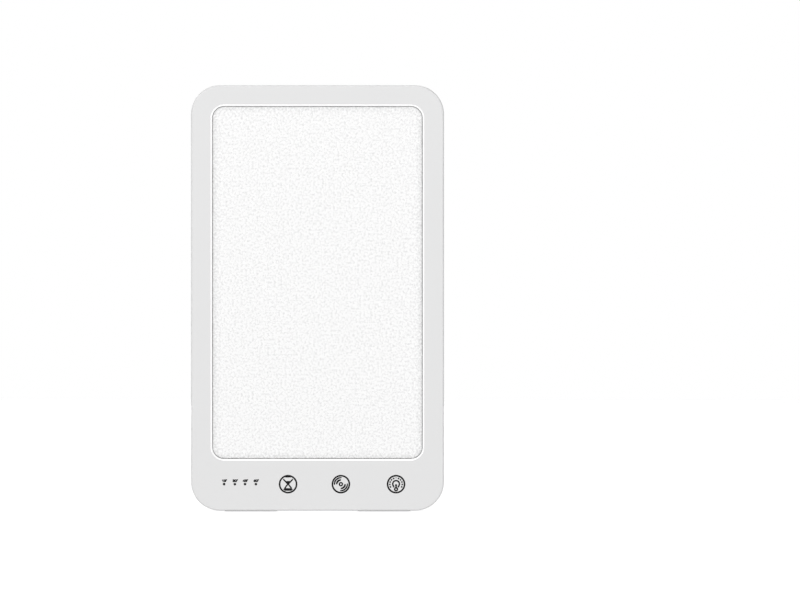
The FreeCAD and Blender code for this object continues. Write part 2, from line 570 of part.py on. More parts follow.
# a lower flange that closes the gap round the tab
flange = prism(rounded_poly([(-6.15, 12.15), (6.15, 12.15), (6.2, 22.5), (5.7, 24.62), (-5.7, 24.62), (-6.2, 22.5)],
                            [2.7, 2.7, 0.6, 0, 0, 0.6], 19.6), 1.7)
tab = fuse([tab, flange, cyl_x(1.2, -5.3, 5.3, LATCH_D, LATCH_Z), hook])
tab = cut(tab, [cyl_x(0.66, -8.0, 8.0, LATCH_D, LATCH_Z), box(-1.7, 1.7, 18.0, 21.6, 21.4, 25.0)])
parts["latch_tab"] = tab

# ---------------------------------------------------------------- write
os.makedirs("parts", exist_ok=True)
for name, shape in parts.items():
    if not shape.isValid():
        print("INVALID", name)
    if len(shape.Solids) == 0:
        print("NO SOLID", name)
    shape.exportStep("parts/%s.step" % name)
    print("%-22s solids %2d volume %10.2f" % (name, len(shape.Solids), shape.Volume))
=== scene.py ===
import bpy
import bmesh
import math
from mathutils import Vector, Matrix


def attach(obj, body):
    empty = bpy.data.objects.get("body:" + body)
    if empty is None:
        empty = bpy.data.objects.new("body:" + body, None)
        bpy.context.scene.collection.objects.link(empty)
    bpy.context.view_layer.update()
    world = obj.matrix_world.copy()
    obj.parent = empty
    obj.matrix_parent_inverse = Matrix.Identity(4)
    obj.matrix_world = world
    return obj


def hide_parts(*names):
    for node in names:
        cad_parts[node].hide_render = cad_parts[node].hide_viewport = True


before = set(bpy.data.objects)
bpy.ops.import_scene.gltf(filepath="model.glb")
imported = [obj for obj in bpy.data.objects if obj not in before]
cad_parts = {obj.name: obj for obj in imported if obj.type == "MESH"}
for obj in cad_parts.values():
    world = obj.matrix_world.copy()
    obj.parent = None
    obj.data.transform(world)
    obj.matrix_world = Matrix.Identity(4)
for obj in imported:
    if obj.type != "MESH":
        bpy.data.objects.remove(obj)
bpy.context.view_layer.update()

# ------------------------------------------------------------------ dimensions, in millimetres
# x is right, d is the depth counted from the front face, z is up, as in the part's source
DEPTH = 23.0
BASE = 0.4
HEIGHT = 256.0
HW = 76.0
CORNER = 17.4
WIN_HW, WIN_Z0, WIN_Z1, WIN_R = 63.15, 31.6, 243.4, 7.2
BACK = 18.0
FOOT = (7.7, 9.7, 11.8)
CREST_OUT = (18.0, 19.6, 24.4)
CREST_IN = (19.0, 20.6, 25.6)
FIELD = (46.5, 32.8, 227.8, 1.5)
HZ, HD = 141.75, 18.6
BARREL = 4.4
D_HW, D_TOP, D_RC, D_ZC = 21.15, 158.15, 4.85, 134.2
CTRL_Z = 16.5
LAMP_X = (-56.0, -49.5, -43.4, -36.9)
TOUCH_X = (-17.6, 14.1, 47.2)
MM = 0.001


def Y(d):
    return d - DEPTH / 2.0


def leg_hw(z):
    return 17.0 + 15.8 * (z - 7.0) / 129.0


# ------------------------------------------------------------------ mesh helpers, all in millimetres
scene = bpy.context.scene


def make(name, verts, faces, mats=None):
    me = bpy.data.meshes.new(name)
    me.from_pydata([tuple(v) for v in verts], [], faces)
    if mats:
        for p, m in zip(me.polygons, mats):
            p.material_index = m
    bm = bmesh.new()
    bm.from_mesh(me)
    bmesh.ops.remove_doubles(bm, verts=bm.verts, dist=1e-5)
    bmesh.ops.recalc_face_normals(bm, faces=bm.faces)
    bm.to_mesh(me)
    bm.free()
    for k in range(3):
        me.materials.append(None)
    ob = bpy.data.objects.new(name, me)
    scene.collection.objects.link(ob)
    return ob


def rings_mesh(name, rings, loop=False, mats=None):
    """Skin over rings of equal length. It is capped at both ends, or joined end to start."""
    n = len(rings[0])
    verts = [p for r in rings for p in r]
    faces, fm = [], []
    last = len(rings) if loop else len(rings) - 1
    for k in range(last):
        a, b = k * n, ((k + 1) % len(rings)) * n
        for i in range(n):
            j = (i + 1) % n
            faces.append((a + i, a + j, b + j, b + i))
            fm.append(mats[k] if mats else 0)
    if not loop:
        faces.append(tuple(reversed(range(n))))
        faces.append(tuple((len(rings) - 1) * n + i for i in range(n)))
        fm += [mats[0] if mats else 0, mats[-1] if mats else 0]
    return make(name, verts, faces, fm)


def rr(hw, z0, z1, r, d, n=16, cx=0.0):
    pts = []
    for sx, zc, a0 in ((1, z0 + r, -90), (1, z1 - r, 0), (-1, z1 - r, 90), (-1, z0 + r, 180)):
        for i in range(n + 1):
            a = math.radians(a0 + 90.0 * i / n)
            pts.append((cx + sx * (hw - r) + r * math.cos(a), Y(d), zc + r * math.sin(a)))
    return pts


def outline_in(e, d, n=16):
    """The housing's outline, drawn in by e."""
    return rr(HW - e, BASE + e, HEIGHT - e, CORNER - e, d, n)


def inset(side, top, bottom, r, d, n=16):
    return rr(HW - side, bottom, HEIGHT - top, r, d, n)


def window_out(e, d, n=16):
    return rr(WIN_HW + e, WIN_Z0 - e, WIN_Z1 + e, WIN_R + e, d, n)


def lerp(a, b, t):
    return tuple(p + (q - p) * t for p, q in zip(a, b))


def at(points, d):
    return [(x, Y(d), z) for x, z in points]


def rounded_poly(points, radii, n=10):
    out = []
    k = len(points)
    for i in range(k):
        p = Vector(points[i])
        a = Vector(points[i - 1])
        b = Vector(points[(i + 1) % k])
        r = radii[i]
        if r <= 0:
            out.append((p.x, p.y))
            continue
        ua, ub = (a - p).normalized(), (b - p).normalized()
        half = math.acos(max(-1.0, min(1.0, ua.dot(ub)))) / 2.0
        c = p + (ua + ub).normalized() * (r / math.sin(half))
        s = p + ua * (r / math.tan(half)) - c
        e = p + ub * (r / math.tan(half)) - c
        a0 = math.atan2(s.y, s.x)
        a1 = math.atan2(e.y, e.x)
        da = (a1 - a0 + math.pi) % (2 * math.pi) - math.pi
        for j in range(n + 1):
            t = a0 + da * j / n
            out.append((c.x + r * math.cos(t), c.y + r * math.sin(t)))
    return out


def d_outline(hw, top, rc, zc=D_ZC, n=56, m=12):
    pts = []
    for i in range(n + 1):
        a = math.pi + math.pi * i / n
        pts.append((hw * math.cos(a), zc + hw * math.sin(a)))
    for i in range(m + 1):
        a = math.pi / 2 * i / m
        pts.append((hw - rc + rc * math.cos(a), top - rc + rc * math.sin(a)))
    for i in range(m + 1):
        a = math.pi / 2 + math.pi / 2 * i / m
        pts.append((-hw + rc + rc * math.cos(a), top - rc + rc * math.sin(a)))
    return pts


def prism(name, points, d0, d1):
    return rings_mesh(name, [at(points, d0), at(points, d1)])


def boxes(name, x0, x1, d0, d1, z0, z1):
    return prism(name, [(x0, z0), (x1, z0), (x1, z1), (x0, z1)], d0, d1)


def lathe(name, prof, axis="x", x=0.0, d=0.0, z=0.0, n=96, loop=False):
    """Turned shape. prof is a list of (place along the axis, radius)."""
    verts, faces, rings = [], [], []
    for s, r in prof:
        ids = []
        if r <= 1e-9:
            ids.append(len(verts))
            verts.append((s, Y(d), z) if axis == "x" else (x, Y(s), z))
        else:
            for i in range(n):
                a = 2 * math.pi * i / n
                c, q = r * math.cos(a), r * math.sin(a)
                ids.append(len(verts))
                verts.append((s, Y(d) + c, z + q) if axis == "x" else (x + c, Y(s), z + q))
        rings.append(ids)
    pairs = list(zip(rings, rings[1:]))
    if loop:
        pairs.append((rings[-1], rings[0]))
    for a, b in pairs:
        for i in range(n):
            j = (i + 1) % n
            if len(a) == 1 and len(b) == 1:
                continue
            if len(a) == 1:
                faces.append((a[0], b[j], b[i]))
            elif len(b) == 1:
                faces.append((a[i], a[j], b[0]))
            else:
                faces.append((a[i], a[j], b[j], b[i]))
    if not loop:
        if len(rings[0]) > 1:
            faces.append(tuple(reversed(rings[0])))
        if len(rings[-1]) > 1:
            faces.append(tuple(rings[-1]))
    return make(name, verts, faces)


def cyl_x(r, x0, x1, d, z, n=96):
    return lathe("tool", [(x0, r), (x1, r)], "x", d=d, z=z, n=n)


def cyl_y(r, x, z, d0, d1, n=48):
    return lathe("tool", [(d0, r), (d1, r)], "y", x=x, z=z, n=n)


def sector(r0, r1, a0, a1, x0, x1, n=20):
    pts = []
    for i in range(n + 1):
        t = math.radians(a0 + (a1 - a0) * i / n)
        pts.append((HD - r1 * math.cos(t), HZ + r1 * math.sin(t)))
    for i in range(n + 1):
        t = math.radians(a1 + (a0 - a1) * i / n)
        pts.append((HD - r0 * math.cos(t), HZ + r0 * math.sin(t)))
    rings = [[(x, Y(d), z) for d, z in pts] for x in (x0, x1)]
    return rings_mesh("tool", rings)


def yz_prism(points, x0, x1):
    return rings_mesh("tool", [[(x, Y(d), z) for z, d in points] for x in (x0, x1)])


def both(maker, *a):
    """A tool made on the right, and its mirror image on the left."""
    r = maker(*a)
    m = maker(*a)
    m.data.transform(Matrix.Scale(-1, 4, (1, 0, 0)))
    m.data.flip_normals()
    return [r, m]


def bake(ob):
    dg = bpy.context.evaluated_depsgraph_get()
    dg.update()
    me = bpy.data.meshes.new_from_object(ob.evaluated_get(dg))
    old = ob.data
    ob.modifiers.clear()
    ob.data = me
    bpy.data.meshes.remove(old)


def boolean(ob, tools, op, self_too=False):
    for t in tools:
        m = ob.modifiers.new("b", "BOOLEAN")
        m.operation = op
        m.object = t
        m.solver = "EXACT"
        m.use_self = self_too
        m.material_mode = "INDEX"
    bpy.context.view_layer.update()
    bake(ob)
    for t in tools:
        me = t.data
        bpy.data.objects.remove(t)
        bpy.data.meshes.remove(me)


def cut(ob, tools):
    boolean(ob, tools, "DIFFERENCE")


def add(ob, tools):
    boolean(ob, tools, "UNION")


def clean(ob, flat=0.05):
    bm = bmesh.new()
    bm.from_mesh(ob.data)
    bmesh.ops.remove_doubles(bm, verts=bm.verts, dist=2e-4)
    bmesh.ops.dissolve_degenerate(bm, edges=bm.edges, dist=1e-4)
    bmesh.ops.dissolve_limit(bm, angle_limit=math.radians(flat), verts=bm.verts, edges=bm.edges,
                             delimit={"MATERIAL"})
    bm.to_mesh(ob.data)
    bm.free()


def seal(ob, dist=2e-3, least=2e-3):
    """Merges points closer than dist, drops islands smaller than least and closes the gaps left by the cuts."""
    bm = bmesh.new()
    bm.from_mesh(ob.data)
    bmesh.ops.remove_doubles(bm, verts=bm.verts, dist=dist)
    bmesh.ops.dissolve_degenerate(bm, edges=bm.edges, dist=dist)
    thin = []
    for v in bm.verts:
        if len(v.link_edges) == 2:
            p, q = (e.other_vert(v).co for e in v.link_edges)
            span = (q - p).length
            if span > 0 and (v.co - p).cross(q - p).length / span < dist:
                thin.append(v)
    if thin:
        bmesh.ops.dissolve_verts(bm, verts=thin)
    bm.faces.index_update()
    seen, drop = set(), []
    for face in bm.faces:
        if face.index in seen:
            continue
        seen.add(face.index)
        todo, island = [face], []
        while todo:
            f = todo.pop()
            island.append(f)
            for e in f.edges:
                if len(e.link_faces) == 2:
                    for g in e.link_faces:
                        if g.index not in seen:
                            seen.add(g.index)
                            todo.append(g)
        if sum(f.calc_area() for f in island) < least:
            drop += island
    if drop:
        bmesh.ops.delete(bm, geom=drop, context="FACES")
    gaps = [e for e in bm.edges if len(e.link_faces) == 1]
    if gaps:
        bmesh.ops.holes_fill(bm, edges=gaps, sides=12)
    loose = [e for e in bm.edges if not e.link_faces]
    if loose:
        bmesh.ops.delete(bm, geom=loose, context="EDGES")
    bmesh.ops.recalc_face_normals(bm, faces=bm.faces)
    bm.to_mesh(ob.data)
    bm.free()


def bevel(ob, width, segments=3, angle=35.0, clamp=True):
    m = ob.modifiers.new("edge", "BEVEL")
    m.width = width
    m.segments = segments
    m.limit_method = "ANGLE"
    m.angle_limit = math.radians(angle)
    m.use_clamp_overlap = clamp
    m.miter_outer = "MITER_ARC"
    bpy.context.view_layer.update()
    bake(ob)


def finish_mesh(ob, sharp=40.0, weighted=True):
    """To metres, smooth shading with crisp corners, and normals that keep flat faces flat."""
    ob.data.transform(Matrix.Scale(MM, 4))
    me = ob.data
    me.polygons.foreach_set("use_smooth", [True] * len(me.polygons))
    me.set_sharp_from_angle(angle=math.radians(sharp))
    if weighted:
        m = ob.modifiers.new("normals", "WEIGHTED_NORMAL")
        m.mode = "FACE_AREA_WITH_ANGLE"
        m.keep_sharp = True
        m.weight = 60
        bpy.context.view_layer.update()
        bake(ob)


def place(ob, body, nodes, mats, sharp=40.0, weighted=True):
    finish_mesh(ob, sharp, weighted)
    me = ob.data
    which = [min(p.material_index, len(mats) - 1) for p in me.polygons]
    me.materials.clear()
    for m in mats:
        me.materials.append(m)
    me.polygons.foreach_set("material_index", which)
    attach(ob, body)
    if nodes:
        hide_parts(*nodes)
    return ob


# ------------------------------------------------------------------ materials
class Mat:
    """A Principled material whose colour, roughness and bump come from procedural nodes."""

    def __init__(self, name, color, rough, **sockets):
        self.m = bpy.data.materials.new(name)
        self.m.use_nodes = True
        self.nt = self.m.node_tree
        self.b = self.nt.nodes["Principled BSDF"]
        self.b.inputs["Base Color"].default_value = (*color, 1.0)
        self.b.inputs["Roughness"].default_value = rough
        for k, v in sockets.items():
            self.b.inputs[k.replace("_", " ")].default_value = v
        self.m.diffuse_color = (*color, 1.0)
        self.tc = self.nt.nodes.new("ShaderNodeTexCoord")
        self.color, self.rough = color, rough
        self.normal = None

    def node(self, kind, **kw):
        n = self.nt.nodes.new(kind)
        for k, v in kw.items():
            if hasattr(n, k):
                setattr(n, k, v)
            else:
                n.inputs[k.replace("_", " ")].default_value = v
        return n

    def link(self, a, b):
        self.nt.links.new(a, b)

    def coords(self, scale=(1, 1, 1), rot=(0, 0, 0)):
        mp = self.nt.nodes.new("ShaderNodeMapping")
        mp.inputs["Scale"].default_value = scale
        mp.inputs["Rotation"].default_value = rot
        self.link(self.tc.outputs["Object"], mp.inputs["Vector"])
        return mp.outputs["Vector"]

    def noise(self, scale, detail=2.0, rough=0.5, vec=None, distortion=0.0):
        n = self.node("ShaderNodeTexNoise", Scale=scale, Detail=detail, Roughness=rough, Distortion=distortion)
        self.link(vec if vec is not None else self.tc.outputs["Object"], n.inputs["Vector"])
        return n.outputs["Fac"]

    def ramp(self, fac, stops):
        r = self.nt.nodes.new("ShaderNodeValToRGB")
        e = r.color_ramp.elements
        while len(e) < len(stops):
            e.new(0.5)
        for k, (p, c) in zip(e, stops):
            k.position = p
            k.color = (*c, 1.0) if len(c) == 3 else c
        self.link(fac, r.inputs["Fac"])
        return r.outputs["Color"]

    def range(self, fac, a, b, lo=0.0, hi=1.0):
        r = self.nt.nodes.new("ShaderNodeMapRange")
        r.inputs["From Min"].default_value = lo
        r.inputs["From Max"].default_value = hi
        r.inputs["To Min"].default_value = a
        r.inputs["To Max"].default_value = b
        self.link(fac, r.inputs["Value"])
        return r.outputs["Result"]

    def math(self, op, a, b=None, c=None):
        n = self.nt.nodes.new("ShaderNodeMath")
        n.operation = op
        for i, v in enumerate((a, b, c)):
            if v is None:
                continue
            if isinstance(v, (int, float)):
                n.inputs[i].default_value = v
            else:
                self.link(v, n.inputs[i])
        return n.outputs["Value"]

    def mix(self, fac, a, b):
        n = self.nt.nodes.new("ShaderNodeMix")
        n.data_type = "RGBA"
        for sock, v in ((n.inputs["Factor"], fac), (n.inputs[6], a), (n.inputs[7], b)):
            if isinstance(v, (int, float)):
                sock.default_value = v
            elif isinstance(v, tuple):
                sock.default_value = (*v, 1.0)
            else:
                self.link(v, sock)
        return n.outputs[2]

    def vary_color(self, fac, amount, tint=(1, 1, 1)):
        lo = tuple(c * (1 - amount * t) for c, t in zip(self.color, tint))
        hi = tuple(min(1.0, c * (1 + amount * t)) for c, t in zip(self.color, tint))
        out = self.ramp(fac, [(0.3, lo), (0.7, hi)])
        self.link(out, self.b.inputs["Base Color"])
        return out

    def vary_rough(self, fac, a, b):
        self.link(self.range(fac, a, b, 0.3, 0.7), self.b.inputs["Roughness"])

    def round_edges(self, radius, samples=4):
        n = self.nt.nodes.new("ShaderNodeBevel")
        n.samples = samples
        n.inputs["Radius"].default_value = radius
        self.normal = n.outputs["Normal"]
        self.link(self.normal, self.b.inputs["Normal"])

    def bump(self, height, strength, distance):
        n = self.nt.nodes.new("ShaderNodeBump")
        n.inputs["Strength"].default_value = strength
        n.inputs["Distance"].default_value = distance
        self.link(height, n.inputs["Height"])
        if self.normal is not None:
            self.link(self.normal, n.inputs["Normal"])
        self.normal = n.outputs["Normal"]
        self.link(self.normal, self.b.inputs["Normal"])

    def glow(self, color, strength):
        self.b.inputs["Emission Color"].default_value = (*color, 1.0)
        self.b.inputs["Emission Strength"].default_value = strength


def housing(name, color=(0.81, 0.81, 0.812), rough=(0.36, 0.46), grain=0.10, edge=0.00022, coat=0.0, painted_glow=0.0, spec=0.5):
    m = Mat(name, color, sum(rough) / 2)
    fine = m.noise(2600, 3.0, 0.6)
    broad = m.noise(9, 2.0, 0.5)
    both_ = m.math("ADD", m.math("MULTIPLY", fine, 0.35), m.math("MULTIPLY", broad, 0.65))
    m.vary_color(both_, 0.012)
    m.vary_rough(fine, *rough)
    if edge:
        m.round_edges(edge)
    m.bump(fine, grain, 0.00003)
    m.b.inputs["Specular IOR Level"].default_value = spec
    if coat:
        m.b.inputs["Coat Weight"].default_value = coat
        m.b.inputs["Coat Roughness"].default_value = 0.08
    # painted glow: a white emission of this strength brightens the plastic beyond its lighting; the edge, rim and
    # chamfer materials use it
    if painted_glow:
        m.glow((1.0, 1.0, 1.0), painted_glow)
    return m.m


def barrel():
    """Polished white plastic with painted highlight and painted shade: its colour and a faint glow are brightest where
    it faces the viewer and darker towards its outline.
    """
    m = Mat("barrel_abs_painted_facing_light", (0.95, 0.95, 0.95), 0.33, **{"Specular_IOR_Level": 0.12})
    lw = m.nt.nodes.new("ShaderNodeLayerWeight")
    lw.inputs["Blend"].default_value = 0.5
    # painted highlight and painted shade: the base colour runs from near white where the surface faces the viewer to
    # mid grey at its outline
    painted_facing_shade = m.ramp(lw.outputs["Facing"], [(0.0, (0.99, 0.99, 0.99)), (0.03, (0.97, 0.97, 0.97)), (0.10, (0.80, 0.80, 0.80)),
                                          (0.19, (0.69, 0.69, 0.695)), (0.45, (0.60, 0.60, 0.605)), (1.0, (0.52, 0.52, 0.53))])
    fine = m.noise(1800, 3.0, 0.5)
    m.link(m.mix(m.range(fine, 0.0, 0.05), painted_facing_shade, (0.80, 0.80, 0.80)), m.b.inputs["Base Color"])
    m.vary_rough(fine, 0.30, 0.36)
    m.bump(fine, 0.02, 0.00003)
    # painted glow: emission up to 0.09 where the surface faces the viewer
    m.link(m.range(lw.outputs["Facing"], 0.09, 0.0, 0.0, 0.10), m.b.inputs["Emission Strength"])
    m.b.inputs["Emission Color"].default_value = (1.0, 1.0, 1.0, 1.0)
    return m.m


HOUSING = housing("housing_satin_abs")
LEG = housing("leg_satin_abs", (0.845, 0.845, 0.847), (0.34, 0.44), 0.08, 0.0)
# the barrels, domes, ears and washers use this material with painted highlight and painted shade
HOUSING_SMOOTH_PAINTED_LIGHT = barrel()
# painted highlight: a near-white colour and a small glow for the bevels of the leg, the D opening and the tab, so they
# read as lit edges
EDGE = housing("housing_edge_painted_highlight", (0.975, 0.975, 0.975), (0.18, 0.26), 0.02, 0.0, 0.5, 0.09)
# painted highlight: a brighter white with a small glow for the bevel round the leg's window
RIM_EDGE = housing("window_rim_painted_highlight", (0.96, 0.96, 0.96), (0.20, 0.28), 0.02, 0.0, 0.4, 0.10)
# painted highlight: a brighter white with a glow for the chamfer round the front window, so it reads white on every
# side
CHAMFER = housing("window_chamfer_painted_highlight", (0.955, 0.955, 0.955), (0.15, 0.22), 0.02, 0.0, 0.5, 0.22)


def opal():
    m = Mat("opal_frosted_acrylic", (0.93, 0.93, 0.93), 0.55)
    s = m.node("ShaderNodeSeparateXYZ")
    m.link(m.tc.outputs["Object"], s.inputs["Vector"])
    # distance to the nearest point of the rounded outline
    qx = m.math("SUBTRACT", m.math("ABSOLUTE", s.outputs["X"]), 0.0628 - 0.00685)
    qz = m.math("SUBTRACT", m.math("ABSOLUTE", m.math("SUBTRACT", s.outputs["Z"], 0.1375)), 0.10555 - 0.00685)
    ox, oz = m.math("MAXIMUM", qx, 0.0), m.math("MAXIMUM", qz, 0.0)
    corner = m.math("SQRT", m.math("ADD", m.math("MULTIPLY", ox, ox), m.math("MULTIPLY", oz, oz)))
    flat = m.math("MINIMUM", m.math("MAXIMUM", qx, qz), 0.0)
    depth = m.math("SUBTRACT", 0.00685, m.math("ADD", corner, flat))
    # painted shade: the colour, and with it the glow, darkens within 6 mm of the panel's edge, where the bezel shades
    # it
    painted_edge_shade = m.ramp(m.range(depth, 0.0, 1.0, 0.0, 0.006), [(0.0, (0.70,) * 3), (0.10, (0.80,) * 3), (0.20, (0.865,) * 3),
                                                       (0.36, (0.90,) * 3), (0.60, (0.94,) * 3), (1.0, (0.955,) * 3)])
    grit = m.noise(760, 5.0, 0.7)
    grain = m.range(grit, -0.28, 0.28, 0.25, 0.75)
    value = m.math("ADD", painted_edge_shade, grain)
    c = m.nt.nodes.new("ShaderNodeCombineColor")
    for k in ("Red", "Green", "Blue"):
        m.link(value, c.inputs[k])
    m.link(c.outputs["Color"], m.b.inputs["Base Color"])
    m.b.inputs["Emission Color"].default_value = (1.0, 1.0, 0.995, 1.0)
    m.link(m.range(painted_edge_shade, 0.0, 0.012, 0.70, 0.955), m.b.inputs["Emission Strength"])
    m.vary_rough(grit, 0.48, 0.64)
    m.bump(m.noise(1900, 3.0, 0.6), 0.22, 0.00005)
    m.b.inputs["Subsurface Weight"].default_value = 0.0
    return m.m


OPAL = opal()


def ink():
    m = Mat("printed_black_ink", (0.006, 0.006, 0.0065), 0.42, **{"Specular IOR Level": 0.12})
    f = m.noise(5200, 3.0, 0.6)
    m.vary_color(f, 0.35)
    m.vary_rough(f, 0.34, 0.52)
    m.bump(f, 0.15, 0.00001)
    return m.m


INK = ink()


def well(name="well_dark_brown_plastic", color=(0.0315, 0.0245, 0.0200)):
    m = Mat(name, color, 0.42)
    f = m.noise(1900, 4.0, 0.6)
    m.vary_color(m.noise(60, 2.0, 0.5), 0.10)
    m.vary_rough(f, 0.36, 0.50)
    m.round_edges(0.0002)
    m.bump(f, 0.12, 0.00003)
    return m.m


def sleeve():
    m = Mat("sleeve_polished_dark_plastic", (0.060, 0.046, 0.042), 0.20)
    v = m.coords((1.0, 40.0, 40.0))
    f = m.noise(70, 3.0, 0.6, v)
    m.vary_color(f, 0.06)
    m.vary_rough(f, 0.17, 0.24)
    m.bump(f, 0.02, 0.00002)
    m.b.inputs["Coat Weight"].default_value = 0.25
    m.b.inputs["Coat Roughness"].default_value = 0.1
    return m.m


# painted light: the band at the well's mouth is a lighter brown than the rest of the well, standing for light falling
# on that slope
WELL, WELL_RIM_PAINTED_LIGHT, SLEEVE = well(), well("well_rim_painted_light", (0.135, 0.122, 0.112)), sleeve()
# painted shadow: near-black for the flat along the sleeve's underside, standing for the shade under the bar
SLEEVE_PAINTED_SHADOW = housing("sleeve_underside_painted_shadow", (0.0045, 0.0038, 0.0035), (0.5, 0.6), 0.05, 0.0, 0.0, 0.0, 0.08)


def simple(name, color, rough, scale, amount, bump, dist=0.00003, metallic=0.0, edge=0.0, vec=None, **sockets):
    m = Mat(name, color, rough, **sockets)
    m.b.inputs["Metallic"].default_value = metallic
    v = m.coords(vec) if vec else None
    f = m.noise(scale, 3.0, 0.6, v)
    m.vary_color(f, amount)
    m.vary_rough(f, rough * 0.85, min(1.0, rough * 1.15))
    if edge:
        m.round_edges(edge)
    m.bump(f, bump, dist)
    return m.m


RUBBER = simple("soft_grey_rubber", (0.50, 0.50, 0.505), 0.78, 2400, 0.12, 0.25, edge=0.0003)
STEEL = simple("zinc_plated_steel", (0.62, 0.62, 0.63), 0.30, 900, 0.05, 0.08, metallic=1.0, edge=0.0001,
               vec=(1.0, 1.0, 14.0))
ALU = simple("mill_finish_aluminium", (0.78, 0.79, 0.80), 0.36, 260, 0.04, 0.10, metallic=1.0, vec=(1.0, 1.0, 30.0))
FOAM = simple("closed_cell_foam", (0.05, 0.05, 0.052), 0.92, 3200, 0.3, 0.5, 0.00008)
FILM = simple("white_reflector_film", (0.93, 0.93, 0.93), 0.40, 500, 0.01, 0.03)
BOARD = simple("green_solder_mask", (0.02, 0.14, 0.06), 0.34, 700, 0.12, 0.06)
LEDBOARD = simple("white_solder_mask", (0.88, 0.88, 0.86), 0.38, 900, 0.02, 0.05)
LED = simple("led_phosphor", (0.92, 0.80, 0.38), 0.30, 2500, 0.05, 0.05)
CHIP = simple("moulded_epoxy", (0.03, 0.03, 0.033), 0.55, 2600, 0.15, 0.20)
ACETAL = simple("white_acetal", (0.86, 0.86, 0.86), 0.40, 1500, 0.03, 0.08)
NYLON = simple("natural_nylon", (0.80, 0.77, 0.69), 0.45, 1500, 0.03, 0.08, edge=0.0002)
LEAD = simple("silicone_lead", (0.70, 0.70, 0.68), 0.50, 1800, 0.04, 0.08)
CLEAR = simple("polished_clear_acrylic", (0.95, 0.96, 0.97), 0.06, 300, 0.01, 0.01, **{"Transmission_Weight": 0.9, "IOR": 1.49})
SMOKED = simple("smoked_lamp_window", (0.006, 0.006, 0.007), 0.22, 1500, 0.2, 0.02, **{"Specular_IOR_Level": 0.25})
JACK = simple("inlet_black_nylon", (0.018, 0.018, 0.02), 0.48, 2200, 0.2, 0.15, edge=0.0002)

# ------------------------------------------------------------------ front bezel
flank = [(0.0, 3.2), (0.03, 2.5), (0.09, 1.9), (0.18, 1.4), (0.28, 1.02)]
bead = [(0.28 + 1.0 * (1 - math.cos(math.radians(t))), 1.0 - 1.0 * math.sin(math.radians(t)))
        for t in (9, 18, 27, 36, 45, 54, 63, 72, 81, 90)]
cham = [(0.92, 0.0), (0.80, 0.03), (0.69, 0.10), (0.16, 0.60), (0.05, 0.70), (0.0, 0.84)]
rings = [outline_in(2.0, 6.98), outline_in(2.0, 7.0), outline_in(0.16, 7.0), outline_in(0.05, 6.95), outline_in(0.0, 6.84)]
rings += [outline_in(e, d) for e, d in flank + bead]
mats = [0] * (15 + len(flank))
assert len(mats) == len(rings)
rings += [window_out(e, d) for e, d in cham]
# the chamfer rings take index 1, the chamfer material with a painted highlight
mats += [1] * (len(cham) - 1) + [0]
rings += [window_out(0.0, 1.5), window_out(0.1, 1.6), outline_in(2.0, 1.6)]
mats += [0, 0, 0]
bezel = rings_mesh("front_bezel_shell", rings, loop=True, mats=mats)
TRAY_SCREWS = [(sx * 69.5, z) for sx in (-1, 1) for z in (45.0, 230.0)]
BOARD_SCREWS = [(-59.5, 9.5), (-62.5, 21.0), (60.0, 9.5), (57.5, 21.0)]
add(bezel, [cyl_y(2.3, x, z, 1.4, 7.45) for x, z in TRAY_SCREWS] + [cyl_y(2.2, x, z, 1.4, 5.6) for x, z in BOARD_SCREWS])
tools = [cyl_y(0.8, x, z, 3.0, 8.0) for x, z in TRAY_SCREWS] + [cyl_y(0.8, x, z, 2.4, 8.0) for x, z in BOARD_SCREWS]
for x in LAMP_X:
    tools.append(lathe("tool", [(-1.0, 1.15), (-0.05, 0.88), (0.05, 0.79), (0.16, 0.75), (3.0, 0.75)], "y", x=x,
                       z=CTRL_Z, n=48))
for z in (60.0, 130.0, 200.0):
    tools += both(boxes, "tool", 73.5, 74.5, 5.7, 6.7, z - 5.5, z + 5.5)
for x in (-38.0, 38.0):
    tools.append(boxes("tool", x - 5.5, x + 5.5, 5.7, 6.7, 253.5, 254.5))
tools += both(boxes, "tool", 24.0, 56.0, 2.6, 15.6, -1.0, 0.9)
cut(bezel, tools)
clean(bezel)
place(bezel, "root", ["front_bezel"], [HOUSING, CHAMFER], 38)

# ------------------------------------------------------------------ opal panel
rings = [rr(66.6, 29.8, 246.4, 5.8, 3.95), rr(66.8, 29.6, 246.6, 6.0, 3.8), rr(66.8, 29.6, 246.6, 6.0, 2.2),
         rr(66.65, 29.75, 246.45, 5.85, 2.05), rr(62.95, 31.8, 243.2, 7.0, 2.05), rr(62.8, 31.95, 243.05, 6.85, 1.9),
         rr(62.8, 31.95, 243.05, 6.85, 1.25)]
for t in (20, 45, 70, 90):
    e = 0.35 * (1 - math.cos(math.radians(t)))
    rings.append(rr(62.8 - e, 31.95 + e, 243.05 - e, 6.85 - e, 1.25 - 0.35 * math.sin(math.radians(t))))
panel = rings_mesh("opal_panel", rings)
place(panel, "root", ["diffuser_panel"], [OPAL], 50)

# ------------------------------------------------------------------ rear cover
rings = [outline_in(2.0, 7.12), outline_in(2.0, 7.1), outline_in(0.16, 7.1), outline_in(0.05, 7.15), outline_in(0.0, 7.26),
         outline_in(0.0, 15.4)]
for t in (0, 9, 18, 27, 36, 45, 54, 63, 72, 81, 90):
    rings.append(outline_in(2.0 - 2.0 * math.cos(math.radians(t)), 16.0 + 2.0 * math.sin(math.radians(t))))
K = 30
for k in range(K + 1):
    s = k / K
    side, top, bottom = lerp(FOOT, CREST_OUT, s)
    rings.append(inset(side, top, bottom, 9.7 - 0.9 * s, BACK + 4.75 * s ** 1.6))
crown = []
for k in range(1, 9):
    u = k / 8
    crown.append((u, (u ** 3 - 2 * u * u + u) * 0.72 + (u ** 3 - u * u) * -0.452))
top_rise = max(c for u, c in crown)
for u, c in crown:
    side, top, bottom = lerp(CREST_OUT, CREST_IN, u)
    rings.append(inset(side, top, bottom, 8.8 - 0.4 * u, 22.75 + 0.25 * c / top_rise))
